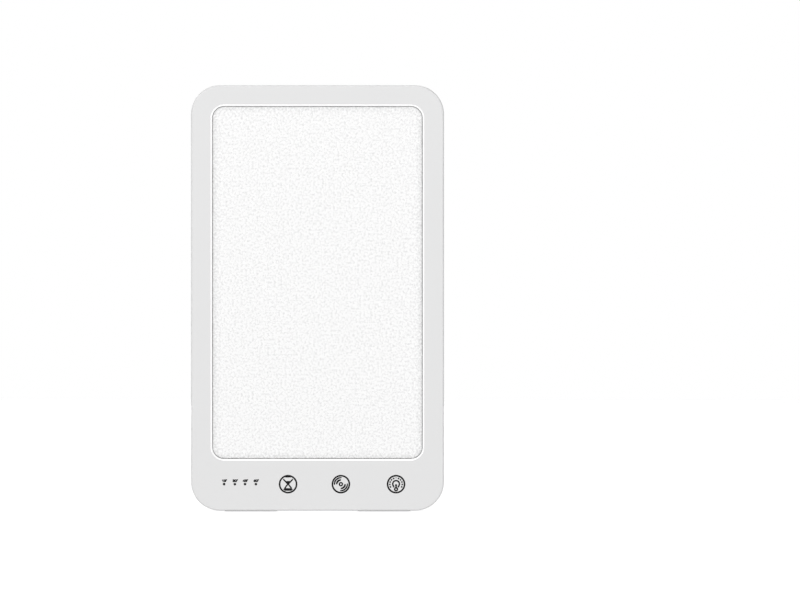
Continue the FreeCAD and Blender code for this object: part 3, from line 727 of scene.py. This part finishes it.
for k in range(1, 11):
    u = k / 10
    hw, z0, z1, r = lerp((HW - CREST_IN[0], CREST_IN[2], HEIGHT - CREST_IN[1], 8.4), FIELD, u)
    rings.append(rr(hw, z0, z1, r, 22.75 - 4.75 * u))
cover = rings_mesh("rear_cover_shell", [outline_in(2.0, 16.0)] + rings)
# cradle for the barrel
cradle = []
for s in (1, -1):
    n = 40
    pts = []
    reach = math.pi - math.acos((BACK - 0.05 - HD) / 6.65)
    for i in range(n + 1):
        t = math.pi - reach + 2 * reach * i / n
        pts.append((HZ + 6.65 * math.sin(t), HD + 6.65 * math.cos(t)))
    x0, x1 = (D_HW, 40.7) if s > 0 else (-40.7, -D_HW)
    cradle.append(yz_prism(pts, x0, x1))
add(cover, cradle + both(sector, 3.0, 8.2, -36.0, 62.0, 25.0, 31.8))
channel = prism("tool", [(-leg_hw(0.0) - 0.4, -1.0), (leg_hw(0.0) + 0.4, -1.0), (leg_hw(40.0) + 0.4, 40.0),
                         (-leg_hw(40.0) - 0.4, 40.0)], BACK, 26.0)
bev = []
for e, d in ((0.0, 16.6), (0.0, 17.25), (0.05, 17.48), (0.18, 17.62), (1.05, 17.92), (1.22, 17.99), (1.36, 18.02), (1.36, 19.0)):
    bev.append(at(d_outline(D_HW + e, D_TOP + e, D_RC + e), d))
# rings 1 to 5 of the D bevel take index 1, the edge material with a painted highlight
cut(cover, [channel, prism("tool", d_outline(D_HW, D_TOP, D_RC), 10.0, 19.0), rings_mesh("tool", bev, mats=[0, 1, 1, 1, 1, 1, 0, 0])])
# the ears take index 2, the barrel material with painted highlight and painted shade
ears = both(cyl_x, 4.3, D_HW - 0.01, 22.5, HD, HZ)
for t in ears:
    t.data.polygons.foreach_set("material_index", [2] * len(t.data.polygons))
add(cover, ears + both(boxes, "tool", D_HW, 22.5, 14.0, 17.9, HZ - 4.8, HZ + 4.8))


def trough():
    prof = [(22.5, 4.65), (33.9, 4.65)]
    for i in range(1, 17):
        t = math.pi / 2 * i / 16
        prof.append((33.9 + 4.65 * math.sin(t), 4.65 * math.cos(t) if i < 16 else 0.0))
    return lathe("tool", prof, "x", d=HD, z=HZ, n=128)


cut(cover, both(trough) + both(sector, 3.0, 6.7, -24.6, 52.0, 26.4, 30.4) + [cyl_x(2.05, -24.0, 24.0, HD, HZ, 64)])
cut(cover, [boxes("tool", -3.6, 3.6, 15.0, 19.0, 14.15, 17.6), cyl_x(3.75, 73.5, 78.0, 11.0, 22.5, 72)]
    + both(boxes, "tool", 24.0, 56.0, 2.6, 15.6, -1.0, 0.9))
clean(cover)
seal(cover)
place(cover, "root", ["rear_cover"], [HOUSING, EDGE, HOUSING_SMOOTH_PAINTED_LIGHT], 30)

# ------------------------------------------------------------------ well, sleeve
prof = [(20.8, 157.8, 4.5, 0.0, 9.4), (21.1, 158.1, 4.8, 0.0, 9.7), (21.1, 158.1, 4.8, 0.0, 17.3), (21.06, 158.06, 4.76, 0.0, 17.45),
        (21.02, 157.95, 4.65, 0.02, 17.42), (20.99, 157.7, 4.5, 0.06, 17.15), (20.92, 156.65, 4.1, 0.50, 15.9),
        (20.89, 156.5, 4.05, 0.58, 15.6), (20.84, 156.42, 4.0, 0.62, 10.35), (20.78, 156.36, 3.95, 0.62, 10.2),
        (20.50, 156.08, 3.68, 0.62, 10.2), (20.44, 156.02, 3.62, 0.62, 10.35), (20.40, 155.98, 3.58, 0.62, 10.75),
        (20.32, 155.90, 3.5, 0.62, 10.95), (20.18, 155.76, 3.36, 0.62, 11.0)]
rings = [at(d_outline(hw, top, rc, D_ZC + up), d) for hw, top, rc, up, d in prof]
# the slope at the well's mouth takes index 1, the lighter brown with painted light
cup = rings_mesh("hinge_well_cup", rings, mats=[0, 0, 0, 0, 1, 1, 0] + [0] * 8)
add(cup, both(cyl_x, 4.3, 20.6, D_HW - 0.05, HD, HZ))
cut(cup, [cyl_x(2.05, -24.0, 24.0, HD, HZ, 64)])
clean(cup)
place(cup, "root", ["hinge_well"], [WELL, WELL_RIM_PAINTED_LIGHT], 35)

SR = 4.05
bar = lathe("hinge_sleeve_bar", [(-20.5, 0.0), (-20.5, SR - 0.15), (-20.46, SR - 0.04), (-20.36, SR), (20.36, SR), (20.46, SR - 0.04),
                                 (20.5, SR - 0.15), (20.5, 0.0)], "x", d=HD, z=HZ, n=160)
flat = yz_prism([(HZ - 1.75, HD + 3.65), (HZ - 9.0, HD - 4.95), (HZ - 9.0, HD + 9.0), (HZ - 1.75, HD + 9.0)], -21.0, 21.0)
# the flat's faces take index 1, the near-black material with a painted shadow
flat.data.polygons.foreach_set("material_index", [1] * len(flat.data.polygons))
cut(bar, [flat, cyl_x(2.05, -22.0, 22.0, HD, HZ, 64)])
clean(bar)
place(bar, "root", ["hinge_sleeve"], [SLEEVE, SLEEVE_PAINTED_SHADOW], 35)

# the washers use the barrel material with painted highlight and painted shade
for side, ob in zip(("right", "left"), both(lambda: lathe("washer", [(22.55, 2.05), (22.55, 4.25), (22.60, 4.32), (22.80, 4.32),
                                                                    (22.85, 4.25), (22.85, 2.05)], "x", d=HD, z=HZ, n=96, loop=True))):
    ob.name = "friction_washer_" + side
    place(ob, "root", ["friction_washers"], [HOUSING_SMOOTH_PAINTED_LIGHT], 35)

# ------------------------------------------------------------------ leg
NOTCH = 21.3


def leg_outline(e):
    """Tapered plate: wide lower corner arcs that the bottom edge cuts off, and the round notch at the top."""
    slope = (leg_hw(100.0) - leg_hw(0.0)) / 100.0
    norm = math.hypot(1.0, slope)
    cx, cz = leg_hw(5.5) - 8.0 / norm, 5.5 + 8.0 * slope / norm
    zb, zt, r = 0.8 + min(e, 0.08), 136.8 - e, 8.0 - e
    ht = leg_hw(zt) - e * norm
    a0, a1 = -math.asin((cz - zb) / r), -math.atan(slope)
    side = [(cx + r * math.cos(a0 + (a1 - a0) * i / 20), cz + r * math.sin(a0 + (a1 - a0) * i / 20)) for i in range(21)]
    nr = NOTCH + e
    pts = side + [(ht, zt), (nr, zt)]
    for i in range(65):
        a = -math.pi * i / 64
        pts.append((nr * math.cos(a), D_ZC + nr * math.sin(a)))
    pts += [(-nr, zt), (-ht, zt)]
    return pts + [(-x, z) for x, z in reversed(side)]


rings = [at(leg_outline(0.2), 18.4), at(leg_outline(0.06), 18.46), at(leg_outline(0.0), 18.6), at(leg_outline(0.0), 21.7)]
for e, d in ((0.03, 21.86), (0.10, 21.98), (0.22, 22.10), (0.78, 22.48), (0.92, 22.555), (1.04, 22.590), (1.16, 22.6)):
    rings.append(at(leg_outline(e), d))
# the bevel faces at index 1 take the edge material with a painted highlight
leg = rings_mesh("leg_plate_shell", rings, mats=[0, 0, 0, 0, 0, 1, 1, 1, 0, 0, 0])
tools = [cyl_x(4.75, -22.95, 22.95, HD, HZ)]
for z0, z1 in ((40.0, 60.0), (61.6, 82.0), (83.6, 106.0)):
    w0, w1 = leg_hw(z0) - 3.0, leg_hw(z1) - 3.0
    for s in (1, -1):
        pts = [(0.8 * s, z0), (w0 * s, z0), (w1 * s, z1), (0.8 * s, z1)]
        tools.append(prism("tool", rounded_poly(pts, [1.0] * 4, 6), 17.4, 20.6))
cut(leg, tools)
# the knuckle barrels take index 2, the material with painted highlight and painted shade
barrels = both(cyl_x, BARREL, 22.95, 33.85, HD, HZ)
for t in barrels:
    t.data.polygons.foreach_set("material_index", [2] * len(t.data.polygons))
add(leg, barrels + both(boxes, "tool", 23.2, 32.4, 18.45, 20.0, 135.5, 140.5)
    + both(sector, 3.0, 6.2, 23.0, 47.0, 26.8, 30.0))
WINDOW = [(-6.35, 11.9), (6.35, 11.9), (6.4, 22.6), (5.95, 24.6), (7.35, 34.6), (-7.35, 34.6), (-5.95, 24.6), (-6.4, 22.6)]
RIM = [(-6.9, 11.1), (6.9, 11.1), (7.25, 22.6), (7.3, 24.6), (8.7, 36.1), (-8.7, 36.1), (-7.3, 24.6), (-7.25, 22.6)]
win = rounded_poly(WINDOW, [2.9, 2.9, 0.6, 0.6, 2.8, 2.8, 0.6, 0.6], 10)
winb = rounded_poly(RIM, [3.4, 3.4, 0.3, 0.3, 4.0, 4.0, 0.3, 0.3], 10)


def between(a, b, t):
    return [(p[0] + (q[0] - p[0]) * t, p[1] + (q[1] - p[1]) * t) for p, q in zip(a, b)]


bev = [at(win, 21.5), at(win, 22.08), at(between(win, winb, 0.05), 22.20), at(between(win, winb, 0.86), 22.53),
       at(between(win, winb, 0.96), 22.585), at(between(win, winb, 1.05), 22.615), at(between(win, winb, 1.05), 23.5)]
# the slot is the lower part of the window, cut straight across at its top
slot_pts = rounded_poly([(-6.35, 11.9), (6.35, 11.9), (6.4, 22.6), (5.95, 24.6), (5.99, 25.0), (-5.99, 25.0), (-5.95, 24.6), (-6.4, 22.6)],
                        [2.9, 2.9, 0.6, 0, 0, 0, 0, 0.6], 10)
winn = rounded_poly([(-6.0, 12.25), (6.0, 12.25), (6.05, 22.6), (5.6, 24.7), (6.98, 34.25), (-6.98, 34.25), (-5.6, 24.7), (-6.05, 22.6)],
                    [2.55, 2.55, 0.6, 0.6, 2.45, 2.45, 0.6, 0.6], 10)
# the window's bevel rings take index 3, the rim material with a painted highlight
cut(leg, [prism("tool", win, 21.2, 23.5), rings_mesh("tool", [at(win, 20.3), at(win, 21.6), at(winn, 21.6), at(winn, 20.3)], loop=True), rings_mesh("tool", bev, mats=[0, 3, 3, 3, 0, 0, 0]), prism("tool", slot_pts, 16.0, 21.4),
          cyl_x(0.6, -8.5, 8.5, 20.2, 23.3, 32), boxes("tool", -1.5, -0.5, 17.4, 19.5, 24.0, 27.2),
          boxes("tool", -12.2, 12.2, 18.9, 22.1, 0.0, 3.1)]
    + [cyl_x(2.05, -35.0, 35.0, HD, HZ, 64)])
clean(leg)
seal(leg)
place(leg, "leg", ["leg_plate"], [LEG, EDGE, HOUSING_SMOOTH_PAINTED_LIGHT, RIM_EDGE], 38)


def cap():
    prof = [(31.0, 2.0), (33.85, 2.0), (33.85, 4.4)]
    for i in range(1, 25):
        t = math.pi / 2 * i / 24
        prof.append((33.85 + 4.35 * math.sin(t), 4.4 * math.cos(t) if i < 24 else 0.0))
    return lathe("leg_end_dome", prof, "x", d=HD, z=HZ, n=128)


# the domes use the material with painted highlight and painted shade
for side, ob in zip(("right", "left"), both(cap)):
    ob.name = "leg_end_dome_" + side
    place(ob, "leg", ["leg_end_caps"], [HOUSING_SMOOTH_PAINTED_LIGHT], 45)

# ------------------------------------------------------------------ press tab
def tab_outline(e):
    k = e * 1.004
    return rounded_poly([(-4.45 + k, 13.3 + e), (4.45 - k, 13.3 + e), (5.72 - k, 24.75 - e), (-5.72 + k, 24.75 - e)],
                        [2.0 - e * 0.8, 2.0 - e * 0.8, 0.6, 0.6], 8)


def flange_outline(e):
    return rounded_poly([(-6.15 + e, 12.15 + e), (6.15 - e, 12.15 + e), (6.2 - e, 22.5), (5.7 - e, 24.62 - e), (-5.7 + e, 24.62 - e),
                         (-6.2 + e, 22.5)], [2.7 - e, 2.7 - e, 0.6, 0.15, 0.15, 0.6], 8)


rings = [at(tab_outline(0.1), 19.9), at(tab_outline(0.0), 20.0), at(tab_outline(0.0), 22.0)]
for t in (0, 18, 36, 54, 72, 90):
    rings.append(at(tab_outline(0.5 - 0.5 * math.cos(math.radians(t))), 22.1 + 0.5 * math.sin(math.radians(t))))
# the tab's rounded top edge takes index 1, the edge material with a painted highlight
tab = rings_mesh("latch_tab_shell", rings, mats=[0] * 3 + [1] * 5 + [0])
add(tab, [rings_mesh("tool", [at(flange_outline(0.1), 19.6), at(flange_outline(0.0), 19.7), at(flange_outline(0.0), 21.2),
                              at(flange_outline(0.1), 21.3)])])
hook = yz_prism([(16.2, 20.0), (14.6, 20.0), (14.6, 16.0), (13.75, 15.35), (13.75, 15.1), (14.6, 14.4), (16.2, 14.4)], -3.0, 3.0)
add(tab, [cyl_x(1.2, -5.3, 5.3, 20.2, 23.3, 48), hook])
cut(tab, [cyl_x(0.66, -8.0, 8.0, 20.2, 23.3, 32), boxes("tool", -1.7, 1.7, 18.0, 21.6, 21.4, 25.0)])
clean(tab)
seal(tab)
place(tab, "latch", ["latch_tab"], [LEG, EDGE], 38)

# ------------------------------------------------------------------ printed marks
INK_FRONT, INK_BACK = -0.022, -0.001


class Print:
    """Flat printed marks, gathered as thin closed shapes and merged into one piece."""

    def __init__(self, name, x, z):
        self.name, self.x, self.z = name, x, z
        self.verts, self.faces = [], []

    def shape(self, pts, hole=None):
        n = len(pts)
        base = len(self.verts)
        for d in (INK_BACK, INK_FRONT):
            self.verts += [(self.x + x, Y(d), self.z + z) for x, z in pts]
            if hole:
                self.verts += [(self.x + x, Y(d), self.z + z) for x, z in hole]
        k = n * (2 if hole else 1)
        for i in range(n):
            j = (i + 1) % n
            self.faces.append((base + i, base + j, base + k + j, base + k + i))
            if hole:
                self.faces.append((base + n + j, base + n + i, base + k + n + i, base + k + n + j))
                self.faces.append((base + j, base + i, base + n + i, base + n + j))
                self.faces.append((base + k + i, base + k + j, base + k + n + j, base + k + n + i))
        if not hole:
            self.faces.append(tuple(base + i for i in reversed(range(n))))
            self.faces.append(tuple(base + k + i for i in range(n)))

    def ring(self, r, w, cx=0.0, cz=0.0, n=96):
        def circle(q):
            return [(cx + q * math.cos(2 * math.pi * i / n), cz + q * math.sin(2 * math.pi * i / n)) for i in range(n)]
        self.shape(circle(r + w / 2), circle(r - w / 2))

    def dot(self, r, cx, cz, n=32):
        self.shape([(cx + r * math.cos(2 * math.pi * i / n), cz + r * math.sin(2 * math.pi * i / n)) for i in range(n)])

    def arc(self, r, w, a0, a1, cx=0.0, cz=0.0, n=28, taper=0.0):
        outer, inner = [], []
        for i in range(n + 1):
            t = math.radians(a0 + (a1 - a0) * i / n)
            k = w / 2 * (1 - taper * abs(2 * i / n - 1) ** 3)
            outer.append((cx + (r + k) * math.cos(t), cz + (r + k) * math.sin(t)))
            inner.append((cx + (r - k) * math.cos(t), cz + (r - k) * math.sin(t)))
        self.shape(outer + inner[::-1])

    def stroke(self, pts, w):
        """One line of constant width through pts, with mitred corners."""
        left, right = [], []
        for i, p in enumerate(pts):
            p = Vector(p)
            a = (p - Vector(pts[i - 1])).normalized() if i else None
            b = (Vector(pts[i + 1]) - p).normalized() if i < len(pts) - 1 else None
            t = (a or b) if not (a and b) else (a + b).normalized()
            nrm = Vector((-t.y, t.x))
            k = w / 2
            if a and b:
                k /= max(0.35, nrm.dot(Vector((-a.y, a.x))))
            left.append(tuple(p + nrm * k))
            right.append(tuple(p - nrm * k))
        self.shape(left + right[::-1])

    def line(self, pts, w, n=16):
        """Straight pieces with round joints, which keeps tight corners clean."""
        k = w / 2
        for (px, pz), (qx, qz) in zip(pts, pts[1:]):
            length = math.hypot(qx - px, qz - pz)
            nx, nz = -(qz - pz) / length * k, (qx - px) / length * k
            self.shape([(px - nx, pz - nz), (qx - nx, qz - nz), (qx + nx, qz + nz), (px + nx, pz + nz)])
        for x, z in dict.fromkeys(pts):
            self.dot(k * 1.06, x, z, n)

    def build(self, mat=None):
        ob = make(self.name, self.verts, self.faces)
        far = boxes("tool", 300.0, 301.0, 0.0, 1.0, 300.0, 301.0)
        boolean(ob, [far], "UNION", True)
        bm = bmesh.new()
        bm.from_mesh(ob.data)
        bmesh.ops.delete(bm, geom=[v for v in bm.verts if v.co.x > 200.0], context="VERTS")
        bm.to_mesh(ob.data)
        bm.free()
        seal(ob, 1e-3, 1e-3)
        finish_mesh(ob, 30, False)
        ob.data.materials.clear()
        ob.data.materials.append(mat or INK)
        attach(ob, "root")
        return ob


RING_R, RING_W = 5.08, 1.00

p = Print("print_timer_symbol", TOUCH_X[0], CTRL_Z)
p.ring(RING_R, RING_W)
p.stroke([(-2.85, 3.0), (-0.10, 0.05), (-2.15, -2.6)], 0.84)
p.stroke([(2.85, 3.0), (0.10, 0.05), (2.15, -2.6)], 0.84)
p.shape([(0.0, -0.5), (0.45, 0.1), (2.05, 1.9), (-2.05, 1.9), (-0.45, 0.1)])
p.shape([(-1.9, -3.98), (1.9, -3.98), (2.95, -3.2), (2.1, -2.4), (-2.1, -2.4), (-2.95, -3.2)])
p.shape([(-1.7, 4.0), (1.7, 4.0), (1.5, 4.75), (-1.5, 4.75)])
p.build()

p = Print("print_tone_symbol", TOUCH_X[1], CTRL_Z)
p.ring(RING_R, RING_W)
p.ring(0.92, 0.84, n=48)
for a in (90, -90):
    p.arc(2.52, 1.14, a - 2, a + 92, taper=0.35)
    p.arc(3.88, 0.90, a - 6, a + 96, taper=0.25)
p.build()

p = Print("print_brightness_symbol", TOUCH_X[2], CTRL_Z)
p.ring(RING_R, RING_W)
for k in range(11):
    t = math.radians(-26.0 + 23.2 * k)
    c, s = math.cos(t), math.sin(t)
    w, r0, r1 = (0.48, 3.28, 4.18) if k != 5 else (0.28, 3.5, 4.1)
    p.shape([(r0 * c + w * s, r0 * s - w * c), (r1 * c + w * s, r1 * s - w * c), (r1 * c - w * s, r1 * s + w * c),
             (r0 * c - w * s, r0 * s + w * c)])
bulb = [(-1.28, -1.95)]
for k in range(25):
    t = math.radians(218 - 256 * k / 24)
    bulb.append((2.0 * math.cos(t), 0.12 + 2.0 * math.sin(t)))
bulb.append((1.28, -1.95))
p.stroke(bulb, 0.92)
p.ring(0.86, 0.88, 0.0, -3.05, 40)
p.dot(0.68, 0.0, -0.62)
p.shape([(-0.32, -0.6), (-0.72, -2.7), (0.72, -2.7), (0.32, -0.6)])
p.build()

DIGITS = {
    "1": ([[(0.14, 0.80), (0.40, 1.0), (0.40, 0.0)]]),
    "3": ([[(0.04, 0.92), (0.14, 1.0), (0.44, 1.0), (0.54, 0.86), (0.54, 0.66), (0.42, 0.53), (0.22, 0.53)],
           [(0.42, 0.53), (0.55, 0.40), (0.55, 0.14), (0.44, 0.0), (0.14, 0.0), (0.04, 0.08)]]),
    "4": ([[(0.44, 0.0), (0.44, 1.0), (0.02, 0.34), (0.60, 0.34)]]),
    "5": ([[(0.54, 1.0), (0.12, 1.0), (0.10, 0.58), (0.42, 0.60), (0.55, 0.44), (0.55, 0.16), (0.42, 0.0), (0.14, 0.0),
            (0.03, 0.08)]]),
    "6": ([[(0.50, 0.98), (0.22, 0.86), (0.05, 0.50), (0.06, 0.16), (0.18, 0.0), (0.42, 0.0), (0.55, 0.16), (0.55, 0.40),
            (0.42, 0.55), (0.18, 0.55), (0.06, 0.40)]]),
    "0": ([[(0.30, 1.0), (0.14, 1.0), (0.04, 0.84), (0.04, 0.16), (0.14, 0.0), (0.46, 0.0), (0.56, 0.16), (0.56, 0.84),
            (0.46, 1.0), (0.29, 1.0)]]),
    "'": ([[(0.14, 1.12), (0.02, 0.80)]]),
}
for x, text in zip(LAMP_X, ("15'", "30'", "45'", "60'")):
    p = Print("print_minutes_" + text[:2], x - 1.22, CTRL_Z + 1.48)
    pen = 0.0
    h, wd = 1.12, 1.62
    for ch in text:
        for line in DIGITS[ch]:
            p.line([(pen + a * wd, b * h) for a, b in line], 0.56)
        pen += 1.28
    p.build()

# ------------------------------------------------------------------ rubber strips, pad, inlet
def foot_strip():
    rings = []
    for e, z in ((0.35, 0.0), (0.1, 0.08), (0.0, 0.3), (0.0, 0.85)):
        ring = []
        x0, x1, d0, d1, r = 24.2 + e, 55.8 - e, 2.8 + e, 15.4 - e, 2.0 - e
        for cx, cd, a0 in ((x1 - r, d0 + r, -90), (x1 - r, d1 - r, 0), (x0 + r, d1 - r, 90), (x0 + r, d0 + r, 180)):
            for i in range(9):
                a = math.radians(a0 + 90 * i / 8)
                ring.append((cx + r * math.cos(a), Y(cd + r * math.sin(a)), z))
        rings.append(ring)
    return rings_mesh("foot_strip", rings)


for side, ob in zip(("right", "left"), both(foot_strip)):
    ob.name = "foot_strip_" + side
    place(ob, "root", ["foot_strips"], [RUBBER], 35)

NODE_MATS = {
    "light_guide": CLEAR, "reflector_sheet": FILM, "diffuser_gasket": FOAM, "backing_plate": ALU, "backing_screws": STEEL,
    "led_strip_left": LEDBOARD, "led_strip_right": LEDBOARD, "led_packages": LED, "control_board": BOARD,
    "board_screws": STEEL, "touch_pads": FOAM, "indicator_leds": LED, "indicator_light_pipe": SMOKED, "control_chip": CHIP,
    "driver_inductor": CHIP, "bulk_capacitor": ALU, "led_connectors": NYLON, "led_lead_left": LEAD, "led_lead_right": LEAD,
    "dc_jack_body": JACK, "dc_jack_pin": STEEL, "dc_jack_contact": STEEL, "hinge_axle": STEEL, "friction_washers": ACETAL,
    "leg_foot_pad": RUBBER, "latch_pin": STEEL, "latch_spring": STEEL,
}
for name, mat in NODE_MATS.items():
    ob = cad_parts[name]
    ob.data.materials.clear()
    ob.data.materials.append(mat)

# ------------------------------------------------------------------ floor, light, camera
def stage_floor():
    m = Mat("studio_floor", (0.93, 0.93, 0.93), 0.75)
    m.vary_color(m.noise(3, 2.0, 0.5), 0.004)
    m.b.inputs["Specular IOR Level"].default_value = 0.0
    m.glow((1.0, 1.0, 1.0), 0.50)
    me = bpy.data.meshes.new("studio_floor")
    s = 3.0
    me.from_pydata([(-s, -s, 0), (s, -s, 0), (s, s, 0), (-s, s, 0)], [], [(0, 1, 2, 3)])
    me.materials.append(m.m)
    ob = bpy.data.objects.new("studio_floor", me)
    scene.collection.objects.link(ob)
    ob.visible_diffuse = False


stage_floor()


def area(name, loc, target, w, h, power, color=(1, 1, 1)):
    li = bpy.data.lights.new(name, "AREA")
    li.shape = "RECTANGLE"
    li.size, li.size_y = w, h
    li.energy = power
    li.color = color
    ob = bpy.data.objects.new(name, li)
    ob.location = loc
    ob.rotation_mode = "QUATERNION"
    ob.rotation_quaternion = (Vector(target) - Vector(loc)).to_track_quat("-Z", "Y")
    ob.visible_camera = False
    scene.collection.objects.link(ob)
    return ob


area("key_front", (-1.1, -2.2, 1.5), (0, 0, 0.12), 1.4, 1.0, 19.2)
area("fill_front", (1.4, -2.0, 0.6), (0, 0, 0.12), 1.2, 1.2, 7.8)
area("key_back", (-1.9, 1.4, 1.5), (0, 0, 0.12), 1.2, 1.0, 17)
axis = area("axis_back", (0.15, 2.6, 0.35), (0, 0, 0.13), 1.0, 0.9, 8)
axis.visible_glossy = False

# a narrow light straight above that shows only in gloss
sun = bpy.data.lights.new("overhead", "SUN")
sun.energy = 2.0
sun.angle = math.radians(36)
sun_ob = bpy.data.objects.new("overhead", sun)
sun_ob.location = (0, 0, 2)
sun_ob.visible_diffuse = False
scene.collection.objects.link(sun_ob)

# a plain white studio: bright walls before and behind, darker ones at the sides, which draw the outline
world = bpy.data.worlds.new("studio")
scene.world = world
world.use_nodes = True
nt = world.node_tree
nt.nodes.clear()
out = nt.nodes.new("ShaderNodeOutputWorld")
seen = nt.nodes.new("ShaderNodeBackground")
seen.inputs["Color"].default_value = (1, 1, 1, 1)
seen.inputs["Strength"].default_value = 1.0
lit = nt.nodes.new("ShaderNodeBackground")
lit.inputs["Strength"].default_value = 1.0
where = nt.nodes.new("ShaderNodeTexCoord")
split = nt.nodes.new("ShaderNodeSeparateXYZ")
below = nt.nodes.new("ShaderNodeMapRange")
for k, v in (("From Min", -1.0), ("From Max", 0.0), ("To Min", 0.47), ("To Max", 0.0)):
    below.inputs[k].default_value = v
total = nt.nodes.new("ShaderNodeMath")
total.operation = "ADD"
square = nt.nodes.new("ShaderNodeMath")
square.operation = "MULTIPLY"
shade = nt.nodes.new("ShaderNodeMapRange")
for k, v in (("From Min", 0.0), ("From Max", 1.0), ("To Min", 0.32), ("To Max", 0.95)):
    shade.inputs[k].default_value = v
path = nt.nodes.new("ShaderNodeLightPath")
mixer = nt.nodes.new("ShaderNodeMixShader")
nt.links.new(where.outputs["Generated"], split.inputs["Vector"])
nt.links.new(split.outputs["Y"], square.inputs[0])
nt.links.new(split.outputs["Y"], square.inputs[1])
nt.links.new(split.outputs["Z"], below.inputs["Value"])
nt.links.new(square.outputs["Value"], total.inputs[0])
nt.links.new(below.outputs["Result"], total.inputs[1])
nt.links.new(total.outputs["Value"], shade.inputs["Value"])
nt.links.new(shade.outputs["Result"], lit.inputs["Color"])
nt.links.new(path.outputs["Is Camera Ray"], mixer.inputs["Fac"])
nt.links.new(lit.outputs["Background"], mixer.inputs[1])
nt.links.new(seen.outputs["Background"], mixer.inputs[2])
nt.links.new(mixer.outputs["Shader"], out.inputs["Surface"])

scene.view_settings.view_transform = "Standard"
scene.view_settings.look = "None"
scene.view_settings.exposure = 0.0
scene.view_settings.gamma = 1.0

# square on, as the photograph: 0.6 mm to a pixel of an 800 x 600 frame at the front face
cam = bpy.data.cameras.new("camera")
cam.lens = 200.0
cam.sensor_width = 36.0
cam.clip_start, cam.clip_end = 0.05, 50.0
cam_ob = bpy.data.objects.new("camera", cam)
dist = 0.480 / (36.0 / 200.0)
cam_ob.location = (0.04956, -0.0115 - dist, 0.1270)
cam_ob.rotation_euler = (math.radians(90), 0, 0)
scene.collection.objects.link(cam_ob)
scene.camera = cam_ob
